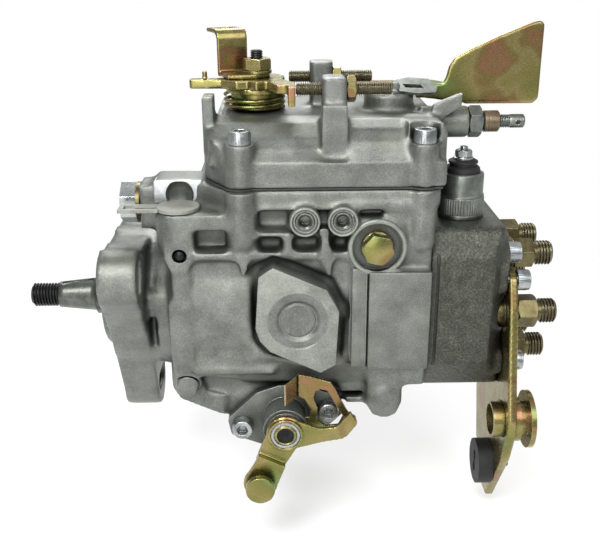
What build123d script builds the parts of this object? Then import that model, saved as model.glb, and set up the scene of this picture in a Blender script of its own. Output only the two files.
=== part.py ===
from build123d import *
import os
from math import atan2, cos, pi, radians, sin, sqrt, tan

# Rotary distributor injection pump for a six-cylinder diesel engine. Millimetres.
# X runs along the drive shaft toward the injection-line outlets, Z is up.
# The origin is the centre of the mounting flange face, on the drive shaft axis.

# ---------------------------------------------------------------- fits and gaps
RUN = 0.03            # radial running clearance of turning and sliding parts
GAP = 0.35            # clear air between neighbours that do not touch

# ---------------------------------------------------------------- drive shaft
THREAD_R = 6.0        # M12 shaft end
THREAD_LEN = 14.0
SHAFT_END_X = -45.0
CONE_LEN = 19.5       # 1:5 taper
CONE_R = 8.5
JOURNAL_R = 10.0
KEY_W = 3.0
KEY_DEPTH = 2.4

# ---------------------------------------------------------------- mounting flange
FLANGE_T = 18.0
PILOT_R = 25.0        # 50 mm spigot
PILOT_LEN = 6.0
EAR_PITCH_R = 48.0
EAR_R = 14.0
EAR_ANGLES = (150.0, 270.0, 30.0)
SLOT_W = 9.0          # M8 studs
SLOT_SWING = 6.5      # degrees either side of the slot centre
FLANGE_WAIST_R = 35.5

# ---------------------------------------------------------------- housing
BODY_X0 = 30.0
BODY_X1 = 151.0
SIDE_Y = 46.0
WALL = 8.0
GASKET_Z = 66.0
GASKET_T = 0.8
BORE_R = 33.5
TIMER_X = 83.3
TIMER_Z = -50.5
TIMER_R = 13.0
TIMER_BODY_R = 20.0
TIMER_FACE_Y = 34.0
TIMER_SCREW_R = 21.5
TIMER_SCREW_TILT = 11.8

# ---------------------------------------------------------------- feed pump
FEED_X0 = 30.0
FEED_LEN = 15.0
FEED_PLATE_T = 5.0
FEED_RING_R = 28.0
FEED_BORE_R = 22.0
FEED_OFFSET = 1.8
FEED_ROTOR_R = 20.0

# ---------------------------------------------------------------- gears and governor
GEAR_MODULE = 1.25
DRIVE_TEETH = 49
GOV_TEETH = 31
GEAR_X0 = 52.0
GEAR_W = 7.0
GOV_Z = GEAR_MODULE * (DRIVE_TEETH + GOV_TEETH) / 2
GOV_SHAFT_R = 5.0
GOV_SHAFT_X1 = 103.0
CAGE_R = 17.0
CAGE_X0 = 61.0
CAGE_X1 = 88.0
SLEEVE_TIP_X = 107.0
LEVER_FACE_X = 108.0
LEVER_TOP_Z = 85.0

# ---------------------------------------------------------------- cam, rollers, plunger
RING_X0 = 75.3
RING_X1 = 91.3
RING_R = 31.0
RING_BORE_R = 16.0
ROLLER_R = 5.0
ROLLER_LEN = 9.0
ROLLER_MEAN_R = 22.5
LOBES = 6
CAM_LIFT = 2.2
CAM_X0 = 97.4
CAM_X1 = 105.0
CAM_R = 29.0
PLUNGER_R = 6.0
COLLAR_X = 125.5
COLLAR_W = 15.0
COLLAR_R = 13.0
SPRING_Y = 24.6

# ---------------------------------------------------------------- distributor head
HEAD_X0 = BODY_X1
HEAD_X1 = 189.0
HEAD_TOP_Z = 45.0
HEAD_BOTTOM_Z = -39.0
BARREL_R = 17.0
OUTLETS = 6
OUTLET_R = 28.6       # radius of the outlet circle
OUTLET_THREAD_R = 6.0 # M12 x 1.5
OUTLET_HEX = 14.0
OUTLET_TIP_X = 214.5
HEX_X0 = 195.5
HEX_X1 = 205.0
SOLENOID_X = 168.6
SOLENOID_Y = -15.0

# ---------------------------------------------------------------- governor cover
COVER_X0 = 49.0
COVER_X1 = 156.0
COVER_TOP_Z = 94.0
COVER_SCREWS = ((65.0, -41.0), (145.8, -41.0), (65.0, 41.0), (145.8, 41.0))
SPINDLE_X = 72.0
SPINDLE_Y = 0.0
SPINDLE_R = 6.0
SPINDLE_NECK_R = 4.0
SPINDLE_THREAD_R = 3.0
SPINDLE_BOSS_R = 9.0
SPINDLE_Z0 = 78.0
PIN_R = 2.2
PIN_THROW = 3.2
STOP_Z = 107.6        # height of both speed stop screws
STOP_SCREW_R = 2.95
FRONT_STOP_Y = -30.0
REAR_STOP_Y = 10.0
FULL_LOAD_Y = -10.0
FULL_LOAD_Z = 89.0
FULL_LOAD_R = 3.9

HEAD_SCREWS = ((-30.0, 30.7), (33.0, 24.0), (33.0, -24.0))
BRACKET_SCREWS = ((-33.5, 18.0), (-33.5, -24.0))
M6_R = 2.95
M6_CLEAR_R = 3.3
M6_HEAD_R = 5.0
M6_HEAD_H = 6.0

# ---------------------------------------------------------------- rear bracket
BRACKET_X0 = HEAD_X1
BRACKET_T = 4.4
BUSH_Y = -44.0
BUSH_Z = -51.0
BUSH_R = 8.6
BUFFER_Y = -28.0
BUFFER_Z = -85.0

os.makedirs("parts", exist_ok=True)


def box(x0, x1, y0, y1, z0, z1):
    solid = Box(x1 - x0, y1 - y0, z1 - z0)
    return Pos((x0 + x1) / 2, (y0 + y1) / 2, (z0 + z1) / 2) * solid


def rod_x(r, x0, x1, y=0.0, z=0.0):
    return Pos((x0 + x1) / 2, y, z) * Rot(0, 90, 0) * Cylinder(r, x1 - x0)


def rod_y(r, y0, y1, x=0.0, z=0.0):
    return Pos(x, (y0 + y1) / 2, z) * Rot(90, 0, 0) * Cylinder(r, y1 - y0)


def rod_z(r, z0, z1, x=0.0, y=0.0):
    return Pos(x, y, (z0 + z1) / 2) * Cylinder(r, z1 - z0)


def tube_x(ro, ri, x0, x1, y=0.0, z=0.0):
    return rod_x(ro, x0, x1, y, z) - rod_x(ri, x0 - 1, x1 + 1, y, z)


def tube_z(ro, ri, z0, z1, x=0.0, y=0.0):
    return rod_z(ro, z0, z1, x, y) - rod_z(ri, z0 - 1, z1 + 1, x, y)


def cone_x(r0, r1, x0, x1, y=0.0, z=0.0):
    return Pos((x0 + x1) / 2, y, z) * Rot(0, 90, 0) * Cone(r0, r1, x1 - x0)


def hex_points(flats, turn=0.0):
    r = flats / sqrt(3)
    return [(r * cos(radians(turn + 60 * i)), r * sin(radians(turn + 60 * i))) for i in range(6)]


def slab(points, direction, length, radius=0.0):
    """A closed outline of 3D points pushed along a direction, corners rounded if asked."""
    face = make_face(Polyline(*points, close=True))
    if radius:
        face = fillet(face.vertices(), radius)
    return extrude(face, amount=length, dir=direction)


def slab_yz(points, x0, x1, radius=0.0):
    return slab([(x0, y, z) for y, z in points], (1, 0, 0), x1 - x0, radius)


def slab_xz(points, y0, y1, radius=0.0):
    return slab([(x, y0, z) for x, z in points], (0, 1, 0), y1 - y0, radius)


def slab_xy(points, z0, z1, radius=0.0):
    return slab([(x, y, z0) for x, y in points], (0, 0, 1), z1 - z0, radius)


def hex_x(flats, x0, x1, y=0.0, z=0.0, turn=0.0):
    return slab_yz([(y + a, z + b) for a, b in hex_points(flats, turn)], x0, x1)


def hex_y(flats, y0, y1, x=0.0, z=0.0, turn=0.0):
    return slab_xz([(x + a, z + b) for a, b in hex_points(flats, turn)], y0, y1)


def hex_z(flats, z0, z1, x=0.0, y=0.0, turn=0.0):
    return slab_xy([(x + a, y + b) for a, b in hex_points(flats, turn)], z0, z1)


def polar(r, angle, cy=0.0, cz=0.0):
    return cy + r * cos(radians(angle)), cz + r * sin(radians(angle))


def save(name, shape):
    solids = shape.solids()
    result = solids[0] if len(solids) == 1 else Compound(children=list(solids))
    result.label = name
    export_step(result, "parts/" + name + ".step")
    return shape


def gear_x(teeth, x0, x1, y=0.0, z=0.0, turn=0.0, backlash=0.16):
    """Involute spur gear, 20 degree pressure angle, its axis along X."""
    pitch = GEAR_MODULE * teeth / 2
    base = pitch * cos(radians(20))
    tip = pitch + 0.9 * GEAR_MODULE
    root = pitch - 1.25 * GEAR_MODULE
    half = pi / 2 / teeth - backlash / 2 / pitch
    involute_pitch = tan(radians(20)) - radians(20)
    outline = []
    for i in range(teeth):
        mid = 2 * pi * i / teeth + radians(turn)
        start = max(base, root)
        flank = []
        for k in range(4):
            r = start + (tip - start) * k / 3
            roll = sqrt(max((r / base) ** 2 - 1, 0))
            flank.append((r, half + involute_pitch - (roll - atan2(roll, 1))))
        foot = flank[0][1]
        undercut = [root] if start > root + 0.05 else []
        outline += [(r, mid - foot) for r in undercut]
        outline += [(r, mid - a) for r, a in flank]
        outline += [(r, mid + a) for r, a in reversed(flank)]
        outline += [(r, mid + foot) for r in undercut]
    return slab_yz([(y + r * cos(a), z + r * sin(a)) for r, a in outline], x0, x1)


def coil(axis, centre, r, wire, pitch, height):
    """A round-wire coil on a straight axis, starting at its centre point."""
    path = Helix(pitch=pitch, height=height, radius=r, center=centre, direction=axis)
    section = Plane(origin=path @ 0, z_dir=path % 0)
    return sweep(section * Circle(wire / 2), path=path)


# ================================================================ pump housing
def flange_blank():
    """Rounded triangle: a central disc with three ears blended into it."""
    blank = rod_x(FLANGE_WAIST_R, 0, FLANGE_T)
    for angle in EAR_ANGLES:
        y, z = polar(EAR_PITCH_R, angle)
        side = (cos(radians(angle + 90)), sin(radians(angle + 90)))
        left = (y + EAR_R * side[0], z + EAR_R * side[1])
        right = (y - EAR_R * side[0], z - EAR_R * side[1])
        web = [polar(FLANGE_WAIST_R, angle + 46), left, right, polar(FLANGE_WAIST_R, angle - 46)]
        blank += rod_x(EAR_R, 0, FLANGE_T, y, z)
        blank += slab_yz(web, 0, FLANGE_T)
    return blank


def arc_slot(angle, x0, x1):
    steps = [angle - SLOT_SWING + 2 * SLOT_SWING * i / 6 for i in range(7)]
    inner = [polar(EAR_PITCH_R - SLOT_W / 2, a) for a in steps]
    outer = [polar(EAR_PITCH_R + SLOT_W / 2, a) for a in reversed(steps)]
    slot = slab_yz(inner + outer, x0, x1)
    for a in (steps[0], steps[-1]):
        y, z = polar(EAR_PITCH_R, a)
        slot += rod_x(SLOT_W / 2, x0, x1, y, z)
    return slot


SIDE_OUTLINE = ((BODY_X0, 50), (BODY_X0, -26), (37, -34), (57, -44), (110, -44), (120, -41),
                (BODY_X1, -34), (BODY_X1, GASKET_Z), (44, GASKET_Z), (44, 50))
TOP_OUTLINE = ((44, -30), (59, -44.5), (154, -44.5), (154, 44.5), (59, 44.5), (44, 30))

body = slab_xz(SIDE_OUTLINE, -SIDE_Y, SIDE_Y)
section = slab_yz([(-SIDE_Y, 70), (-SIDE_Y, -14), (-38, -32), (-22, -45), (22, -45), (38, -32),
                   (SIDE_Y, -14), (SIDE_Y, 70)], BODY_X0 - 1, BODY_X1 + 1)
body = body & section
corner = slab_xy([(40, -50), (61, -50), (61, -46.5), (40, -26)], 49.5, 80)
body -= corner
body -= mirror(corner, Plane.XZ)
neck = cone_x(31.5, 40, 10, 40)
housing = flange_blank() + rod_x(PILOT_R, -PILOT_LEN, 0) + body + neck
housing += rod_y(TIMER_BODY_R, -TIMER_FACE_Y, TIMER_FACE_Y, TIMER_X, TIMER_Z)
housing += slab_xz([(57, -40), (62, -62), (104, -56), (110, -40)], -30, 30)

# Top flange of the casting under the cover, with the four screw columns.
housing += slab_xy(TOP_OUTLINE, 57, GASKET_Z, 4.0)
for sx, sy in COVER_SCREWS:
    side = -1 if sy < 0 else 1
    housing += rod_z(6.4, 42, GASKET_Z, sx, sy + side * 1.5)
    housing += Pos(sx, sy + side * 1.5, 42) * Sphere(6.4)

# Near side: machined pads, plug bosses, ribs.
pad_near = ((78.6, 32.4), (102.9, 21.4), (108.5, 10.8), (107.0, -16.0), (100.1, -20.1),
            (76.9, -9.0), (72.2, -3.5), (70.2, 2.8), (72.0, 27.9))
housing += slab_xz(pad_near, -52.5, -40)
housing += slab_xz([(114.4, 30.0), (121.0, 30.0), (121.0, -19.0), (114.4, -19.0)], -48.5, -40)
housing += slab_xz([(121.8, 29.0), (150.3, 28.6), (150.2, -20.0), (121.8, -19.3)], -50.5, -40)
for px in (93.1, 109.8):
    housing += rod_y(6.6, -50.5, -40, px, 52.9)
housing += rod_y(13.4, -48.5, -40, 125.5, 40.1)
front_web = [(28, -20), (28, -36), (32, -42.5), (55, -53), (64, -57), (72, -30), (72, -20)]
housing += slab_xz(front_web, -36, -26)
housing += slab_xz(front_web, 26, 36)
housing += rod_y(5.3, -38, -30, 36.2, -32)
column = [(123, -15), (122.7, -43), (126, -49.5), (132, -51.5), (137.5, -49.5), (140.3, -43), (140, -15)]
housing += slab_xz(column, -42, -18, 3.0)
housing += rod_y(5.4, -44, -40, 132.2, -39.2)
housing += box(139, BODY_X1, -44, -20, -32.5, -18.8)
for z in (-36.0, -43.0):
    housing += box(104, 124, -38, -30, z - 1.8, z + 1.8)
for z in (56.0, 36.5):
    housing += slab_xz([(58, z + 1.6), (112, z + 1.6), (112, z - 1.6), (58, z - 1.6)], -48.0, -40)
for x in (62.0, 100.5, 82.0):
    housing += slab_xz([(x - 1.5, 57), (x + 1.5, 57), (x + 1.5, 30), (x - 1.5, 30)], -47.6, -40)
housing += slab_xz([(112, 60), (151, 60), (151, 57), (112, 57)], -47.6, -40)

# Fuel inlet boss at the front end of the casting and the capped return boss beside it.
housing += box(24.5, 47, -30, -10, 36, 67)
housing += box(17.5, 25, -30, -11, 44, 64.5)
housing += rod_z(10.3, 38, 56, 36.3, -38)
housing += box(36.3, 62, -48, -34, 48, 56)

# Cavities.
housing -= rod_z(10.2, 56, 70, 36.3, -38)
housing -= rod_z(7.0, 50, 57, 36.3, -38)
housing -= rod_x(7.0 + RUN, 16, 34, -20.5, 54.5)
housing -= rod_x(JOURNAL_R + RUN, -10, BODY_X0 + 1)
housing -= rod_x(15.5, -PILOT_LEN - 1, 2)
housing -= rod_x(FEED_RING_R, BODY_X0, BODY_X0 + FEED_LEN + FEED_PLATE_T + 1)
housing -= rod_x(BORE_R, BODY_X0 + FEED_LEN + FEED_PLATE_T, BODY_X1 + 5)
CAVITY = ((51.4, -24), (60, -SIDE_Y + WALL), (143, -SIDE_Y + WALL), (143, SIDE_Y - WALL),
          (60, SIDE_Y - WALL), (51.4, 24))
housing -= slab_xy(CAVITY, 0, 70)
for side in (-1, 1):
    cut = box(TIMER_X - 30, TIMER_X + 30, *sorted((side * TIMER_FACE_Y, side * 60)), -80, -32.5)
    housing -= cut & rod_y(30, -60, 60, TIMER_X, TIMER_Z)
housing -= rod_y(TIMER_R, -TIMER_FACE_Y - 1, TIMER_FACE_Y + 1, TIMER_X, TIMER_Z)
housing -= box(TIMER_X - 4.5, TIMER_X + 4.5, -7, 12, TIMER_Z + 5, -BORE_R + 4)
housing -= rod_x(GOV_SHAFT_R, 40, 60, 0, GOV_Z)
for sx, sy in COVER_SCREWS:
    housing -= rod_z(M6_R, 48, 70, sx, sy)
for side in (-1, 1):
    housing -= rod_y(4.0, *sorted((side * 30, side * 70)), 125.5, 40.1)
    housing -= rod_y(9.2, *sorted((side * 46.5, side * 70)), 125.5, 40.1)
    for s in (-1, 1):
        tx = TIMER_X + s * TIMER_SCREW_R * cos(radians(TIMER_SCREW_TILT))
        tz = TIMER_Z + s * TIMER_SCREW_R * sin(radians(TIMER_SCREW_TILT))
        boss = rod_y(6.2, *sorted((side * 14, side * TIMER_FACE_Y)), tx, tz)
        housing += boss
        housing -= rod_y(M6_R, *sorted((side * 18, side * (TIMER_FACE_Y + 1))), tx, tz)
for px in (93.1, 109.8):
    housing -= rod_y(4.4, -55, -44, px, 52.9)
housing -= rod_y(3.0, -60, -42, 36.8, 36.7)
for angle in EAR_ANGLES:
    housing -= arc_slot(angle, -1, FLANGE_T + 1)
    y, z = polar(EAR_PITCH_R + 3, angle)
    housing -= rod_x(11.5, FLANGE_T, FLANGE_T + 14, y, z)
for hy, hz in HEAD_SCREWS + BRACKET_SCREWS:
    housing -= rod_x(M6_R, 140, BODY_X1 + 1, hy, hz)
housing = save("pump_housing", housing)

# ================================================================ drive line
shaft = rod_x(THREAD_R, SHAFT_END_X + 1, SHAFT_END_X + THREAD_LEN)
shaft += cone_x(THREAD_R - 1, THREAD_R, SHAFT_END_X, SHAFT_END_X + 1)
cone_x0 = SHAFT_END_X + THREAD_LEN
shaft += cone_x(CONE_R - CONE_LEN / 10, CONE_R, cone_x0, cone_x0 + CONE_LEN)
shaft += rod_x(JOURNAL_R, cone_x0 + CONE_LEN, BODY_X0 + 0.2)
shaft += rod_x(CONE_R, BODY_X0, GEAR_X0 + GEAR_W + 4)
shaft += rod_x(12.0, GEAR_X0 + GEAR_W + 4, 84)
shaft += box(83, 92, -3.9, 3.9, -11, 11)
shaft -= box(cone_x0 + 1.5, cone_x0 + CONE_LEN - 2, -KEY_W / 2, KEY_W / 2, CONE_R - 1 - KEY_DEPTH, 12)
save("drive_shaft", shaft)

seal = tube_x(15.5, JOURNAL_R + 0.3, -PILOT_LEN + 1.5, 2)
seal += tube_x(JOURNAL_R + 1.5, JOURNAL_R, -PILOT_LEN + 3, -PILOT_LEN + 4)
save("shaft_seal", seal)

feed_x0 = FEED_X0 + 0.05
feed_ring = rod_x(FEED_RING_R, FEED_X0, FEED_X0 + FEED_LEN)
feed_ring -= rod_x(FEED_BORE_R, FEED_X0 - 1, FEED_X0 + FEED_LEN + 1, 0, -FEED_OFFSET)
save("feed_pump_ring", feed_ring)

rotor = rod_x(FEED_ROTOR_R, feed_x0 + 0.2, FEED_X0 + FEED_LEN - 0.05)
rotor -= rod_x(CONE_R, FEED_X0 - 1, FEED_X0 + FEED_LEN + 1)
for i in range(4):
    slot = box(FEED_X0 - 1, FEED_X0 + FEED_LEN + 1, 11.5, FEED_ROTOR_R + 2, -1.6, 1.6)
    rotor -= Rot(45 + 90 * i, 0, 0) * slot
save("feed_pump_rotor", rotor)

feed_plate = rod_x(FEED_RING_R, FEED_X0 + FEED_LEN, FEED_X0 + FEED_LEN + FEED_PLATE_T)
feed_plate -= rod_x(CONE_R + GAP, FEED_X0, GEAR_X0)
for angle in (60, 240):
    y, z = polar(24, angle)
    feed_plate -= rod_x(2.6, FEED_X0, GEAR_X0, y, z)
save("feed_pump_plate", feed_plate)

drive_gear = gear_x(DRIVE_TEETH, GEAR_X0, GEAR_X0 + GEAR_W, turn=90.0)
drive_gear += rod_x(13, GEAR_X0, GEAR_X0 + GEAR_W + 4)
drive_gear -= rod_x(CONE_R, GEAR_X0 - 1, GEAR_X0 + GEAR_W + 5)
for i in range(6):
    y, z = polar(21.5, 60 * i)
    drive_gear -= rod_x(4.2, GEAR_X0 - 1, GEAR_X0 + GEAR_W + 1, y, z)
save("drive_gear", drive_gear)


# ================================================================ governor
governor_shaft = rod_x(GOV_SHAFT_R, 40, GOV_SHAFT_X1, 0, GOV_Z)
save("governor_shaft", governor_shaft)

half_tooth = 180.0 / GOV_TEETH
cage = gear_x(GOV_TEETH, GEAR_X0, GEAR_X0 + GEAR_W, 0, GOV_Z, turn=270.0 + half_tooth)
cage += rod_x(9.5, GEAR_X0 + GEAR_W - 1, CAGE_X0 + 2, 0, GOV_Z)
cage += tube_x(CAGE_R, CAGE_R - 1.6, CAGE_X0, CAGE_X1, 0, GOV_Z)
cage += rod_x(CAGE_R, CAGE_X0, CAGE_X0 + 2.5, 0, GOV_Z)
for i in range(4):
    window = box(CAGE_X0 + 4.5, CAGE_X1 - 3, -4.8, 4.8, 10, CAGE_R + 2)
    cage -= Pos(0, 0, GOV_Z) * Rot(45 + 90 * i, 0, 0) * window
cage -= rod_x(GOV_SHAFT_R + RUN, 45, 100, 0, GOV_Z)
save("governor_gear", cage)

weights = []
for i in range(4):
    weight = box(CAGE_X0 + 5.0, CAGE_X1 - 4, -4.3, 4.3, 9.2, 15.0)
    weight += box(CAGE_X1 - 8.5, CAGE_X1 - 5.2, -4.3, 4.3, 6.2, 10)
    weight = weight & tube_x(15.1, 7.8, CAGE_X0, CAGE_X1)
    weights.append(Pos(0, 0, GOV_Z) * Rot(45 + 90 * i, 0, 0) * weight)
flyweights = Compound(children=[w.solids()[0] for w in weights])
save("flyweights", flyweights)

sleeve_x0 = CAGE_X1 - 4.0
sleeve = rod_x(7.4, sleeve_x0, SLEEVE_TIP_X - 2, 0, GOV_Z)
sleeve += cone_x(7.4, 4.4, SLEEVE_TIP_X - 2, SLEEVE_TIP_X, 0, GOV_Z)
sleeve -= rod_x(GOV_SHAFT_R + RUN, sleeve_x0 - 1, GOV_SHAFT_X1 + 0.6, 0, GOV_Z)
save("governor_sleeve", sleeve)

pivot_x = 125.5
pivot_z = 40.1
lever = rod_y(4.5, -24, 24, pivot_x, pivot_z)
lever += slab_xz([(pivot_x - 2.5, pivot_z), (pivot_x + 2.5, pivot_z), (pivot_x + 1.8, 13), (pivot_x - 1.8, 13)],
                 -4, 4)
lever += Pos(pivot_x, 0, 10.8) * Sphere(3.4)
lever += slab_xz([(pivot_x - 3, pivot_z - 3), (pivot_x + 2, pivot_z + 3), (111.5, 54), (111.5, LEVER_TOP_Z),
                  (LEVER_FACE_X, LEVER_TOP_Z), (LEVER_FACE_X, 47), (112, 46)], -6, 6)
lever += Pos(SLEEVE_TIP_X + GAP + 5.0, 0, GOV_Z) * Sphere(5.0)
lever -= rod_y(2.0 + RUN, -25, -14, pivot_x, pivot_z)
lever -= rod_y(2.0 + RUN, 14, 25, pivot_x, pivot_z)
save("governor_lever", lever)

spring_z = SPINDLE_Z0 - 1.6
spring_x0 = SPINDLE_X + 13.5
spring_wire_r = 0.7
spring_x1 = spring_x0 + 18.0
gov_coil = coil((1, 0, 0), (spring_x0, 0, spring_z), 5.6, 2 * spring_wire_r, 3.0, spring_x1 - spring_x0)
near_end = rod_x(6.3, spring_x0 - 2.1, spring_x0 - spring_wire_r, 0, spring_z)
near_end += rod_x(1.2, SPINDLE_X + PIN_THROW + PIN_R, spring_x0 - 2, 0, spring_z)
far_end = rod_x(6.3, spring_x1 + spring_wire_r, spring_x1 + 2.1, 0, spring_z)
far_end += rod_x(1.2, spring_x1 + 2, LEVER_FACE_X, 0, spring_z)
save("governor_spring", Compound(children=[gov_coil, near_end, far_end]))


# ================================================================ cam, rollers, plunger
ring = tube_x(RING_R, RING_BORE_R, RING_X0, RING_X1)
rollers = []
roller_x = RING_X1 - 1.4
for angle in (0, 60, 180, 240):
    roller = Pos(roller_x, 0, 0) * Rot(angle, 0, 0) * rod_y(ROLLER_R, ROLLER_MEAN_R - ROLLER_LEN / 2,
                                                            ROLLER_MEAN_R + ROLLER_LEN / 2)
    rollers.append(roller)
    pocket = Pos(roller_x, 0, 0) * Rot(angle, 0, 0) * rod_y(ROLLER_R + RUN, ROLLER_MEAN_R - 5,
                                                            ROLLER_MEAN_R + 5)
    ring -= pocket
    relief = box(0, 10, ROLLER_MEAN_R - 5, ROLLER_MEAN_R + 5, -ROLLER_R - RUN, ROLLER_R + RUN)
    ring -= Pos(roller_x, 0, 0) * Rot(angle, 0, 0) * relief
pin = rod_z(3.2, TIMER_Z, -RING_R + 3, TIMER_X, 0)
pin += Pos(TIMER_X, 0, TIMER_Z) * Sphere(5.4)
pin = pin - rod_x(RING_R - 2, 0, 200)
save("roller_ring", ring + pin)
save("cam_rollers", Compound(children=[r.solids()[0] for r in rollers]))

cam = rod_x(CAM_R, CAM_X0 + CAM_LIFT, CAM_X1)
for i in range(LOBES):
    lobe = slab([(CAM_X0 + CAM_LIFT + 0.5, 15, -5.5), (CAM_X0 + CAM_LIFT, 15, -5.5), (CAM_X0, 15, -1.4),
                 (CAM_X0, 15, 1.4), (CAM_X0 + CAM_LIFT, 15, 5.5), (CAM_X0 + CAM_LIFT + 0.5, 15, 5.5)],
                (0, 1, 0), 13.5)
    cam += Rot(60 * i, 0, 0) * lobe
cam += rod_x(12.0, 92.6, CAM_X0 + 3)
cam -= box(80, 99, -4.2, 4.2, -13, 13)
cam -= rod_x(PLUNGER_R + 3.2, CAM_X1 - 2.2, CAM_X1 + 1)
save("cam_plate", cam)

plunger = rod_x(PLUNGER_R, CAM_X1 - 2.2, 176)
plunger += rod_x(PLUNGER_R + 3, CAM_X1 - 2.2, CAM_X1 + 1.2)
plunger -= rod_x(1.2, 120, 180)
for i in range(LOBES):
    plunger -= Rot(60 * i, 0, 0) * box(168, 177, PLUNGER_R - 1, PLUNGER_R + 1, -0.8, 0.8)
plunger -= rod_y(1.1, -7, 7, COLLAR_X, 0)
save("plunger", plunger)

collar = tube_x(COLLAR_R, PLUNGER_R + RUN, COLLAR_X - COLLAR_W / 2, COLLAR_X + COLLAR_W / 2)
collar -= box(COLLAR_X - 3.8, COLLAR_X + 3.8, -4.6, 4.6, 7.0, COLLAR_R + 1)
save("control_collar", collar)

bridge_x = CAM_X1 + 1.4
bridge = slab_yz([(-31.5, -6), (-31.5, 6), (-10, 12), (10, 12), (31.5, 6), (31.5, -6), (10, -12), (-10, -12)],
                 bridge_x, bridge_x + 3)
bridge -= rod_x(PLUNGER_R + GAP, bridge_x - 1, bridge_x + 5)
save("spring_bridge", bridge)

springs = []
spring_len = HEAD_X0 - 8 - (bridge_x + 3)
for side in (-1, 1):
    turns = 6
    path_len = spring_len - 2.8
    start = (bridge_x + 3 + 1.4, side * SPRING_Y, 0)
    springs.append(coil((1, 0, 0), start, 5.6, 2.2, path_len / turns, path_len))
save("plunger_springs", Compound(children=[s.solids()[0] for s in springs]))


# ================================================================ timing device
piston = rod_y(TIMER_R - RUN, -17, 15, TIMER_X, TIMER_Z)
piston -= rod_z(5.5, TIMER_Z - 8, TIMER_Z + 20, TIMER_X, 0)
piston -= rod_y(8.0, 9, 16, TIMER_X, TIMER_Z)
save("timer_piston", piston)

timer_spring = coil((0, 1, 0), (TIMER_X, 10.2, TIMER_Z), 6.0, 2.0, 3.5, 21.3)
save("timer_spring", timer_spring)


def timer_cover(side):
    points = [polar(r, TIMER_SCREW_TILT + a, TIMER_X, TIMER_Z)
              for r, a in ((28.5, -9), (28.5, 9), (19, 55), (17, 90), (19, 125), (28.5, 171), (28.5, 189),
                           (19, 235), (17, 270), (19, 305))]
    y0, y1 = sorted((side * TIMER_FACE_Y, side * (TIMER_FACE_Y + 5)))
    plate = slab_xz(points, y0, y1, 3.0)
    for s in (-1, 1):
        tx = TIMER_X + s * TIMER_SCREW_R * cos(radians(TIMER_SCREW_TILT))
        tz = TIMER_Z + s * TIMER_SCREW_R * sin(radians(TIMER_SCREW_TILT))
        plate -= rod_y(M6_CLEAR_R, y0 - 1, y1 + 1, tx, tz)
    return plate


def timer_screw_places():
    for s in (-1, 1):
        yield (TIMER_X + s * TIMER_SCREW_R * cos(radians(TIMER_SCREW_TILT)),
               TIMER_Z + s * TIMER_SCREW_R * sin(radians(TIMER_SCREW_TILT)))


def cap_screw(length, flats=5.0):
    """M6 socket-head screw along +Z, its head seat at the origin."""
    screw = rod_z(M6_HEAD_R, 0, M6_HEAD_H) + rod_z(M6_R, -length, 0.5)
    screw -= hex_z(flats, M6_HEAD_H - 3.2, M6_HEAD_H + 1)
    return screw


COLD_BOSS_R = 10.6
COLD_BOSS_Y = -52.0
COLD_SHAFT_R = 4.0
near_cover = timer_cover(-1)
near_cover += rod_y(COLD_BOSS_R, COLD_BOSS_Y, -TIMER_FACE_Y - 1, TIMER_X, TIMER_Z)
near_cover += rod_y(8.6, COLD_BOSS_Y - 1.2, COLD_BOSS_Y + 1, TIMER_X, TIMER_Z)
near_cover -= rod_y(COLD_SHAFT_R + RUN, -60, -20, TIMER_X, TIMER_Z)
save("cold_start_cover", near_cover)
far_spigot = rod_y(TIMER_R - 0.2, TIMER_FACE_Y - 1.2, TIMER_FACE_Y + 1, TIMER_X, TIMER_Z)
save("timer_end_cover", timer_cover(1) + far_spigot)

timer_screws = []
for side in (-1, 1):
    for tx, tz in timer_screw_places():
        screw = cap_screw(14.0)
        timer_screws.append(Pos(tx, side * (TIMER_FACE_Y + 5), tz) * Rot(-90 * side, 0, 0) * screw)
save("timer_cover_screws", Compound(children=[s.solids()[0] for s in timer_screws]))

# Cold-start lever: cranked arm with a riveted stud, and a short arm with a turned-down tab.
LEVER_Y1 = COLD_BOSS_Y - 1.2 - 0.35
LEVER_T = 2.5
LEVER_Y0 = LEVER_Y1 - LEVER_T
cold_shaft = rod_y(COLD_SHAFT_R, LEVER_Y0 - 1.4, -30, TIMER_X, TIMER_Z)
cold_shaft += rod_y(2.2, -30.5, -26, TIMER_X + 2.0, TIMER_Z)
save("cold_start_shaft", cold_shaft)


def cold_point(along, across, angle):
    c, s = cos(radians(angle)), sin(radians(angle))
    return TIMER_X + along * c - across * s, TIMER_Z + along * s + across * c


ARM_ANGLE = 244.0
SHORT_ANGLE = 4.0
lever_cold = rod_y(9.2, LEVER_Y0, LEVER_Y1, TIMER_X, TIMER_Z)
lever_cold += slab_xz([cold_point(0, -8.6, ARM_ANGLE), cold_point(16, -7.2, ARM_ANGLE),
                       cold_point(16, 7.2, ARM_ANGLE), cold_point(0, 8.6, ARM_ANGLE)], LEVER_Y0, LEVER_Y1)
lever_cold += slab_xz([cold_point(14.5, -7.0, ARM_ANGLE), cold_point(18.5, -7.0, ARM_ANGLE),
                       cold_point(18.5, 7.0, ARM_ANGLE), cold_point(14.5, 7.0, ARM_ANGLE)],
                      LEVER_Y0 - 3.5, LEVER_Y1)
outer = slab_xz([cold_point(16, -7.0, ARM_ANGLE), cold_point(28, -8.0, ARM_ANGLE),
                 cold_point(28, 8.0, ARM_ANGLE), cold_point(16, 7.0, ARM_ANGLE)],
                LEVER_Y0 - 3.5, LEVER_Y1 - 3.5)
outer += rod_y(8.2, LEVER_Y0 - 3.5, LEVER_Y1 - 3.5, *cold_point(28, 0, ARM_ANGLE))
lever_cold += outer
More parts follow.
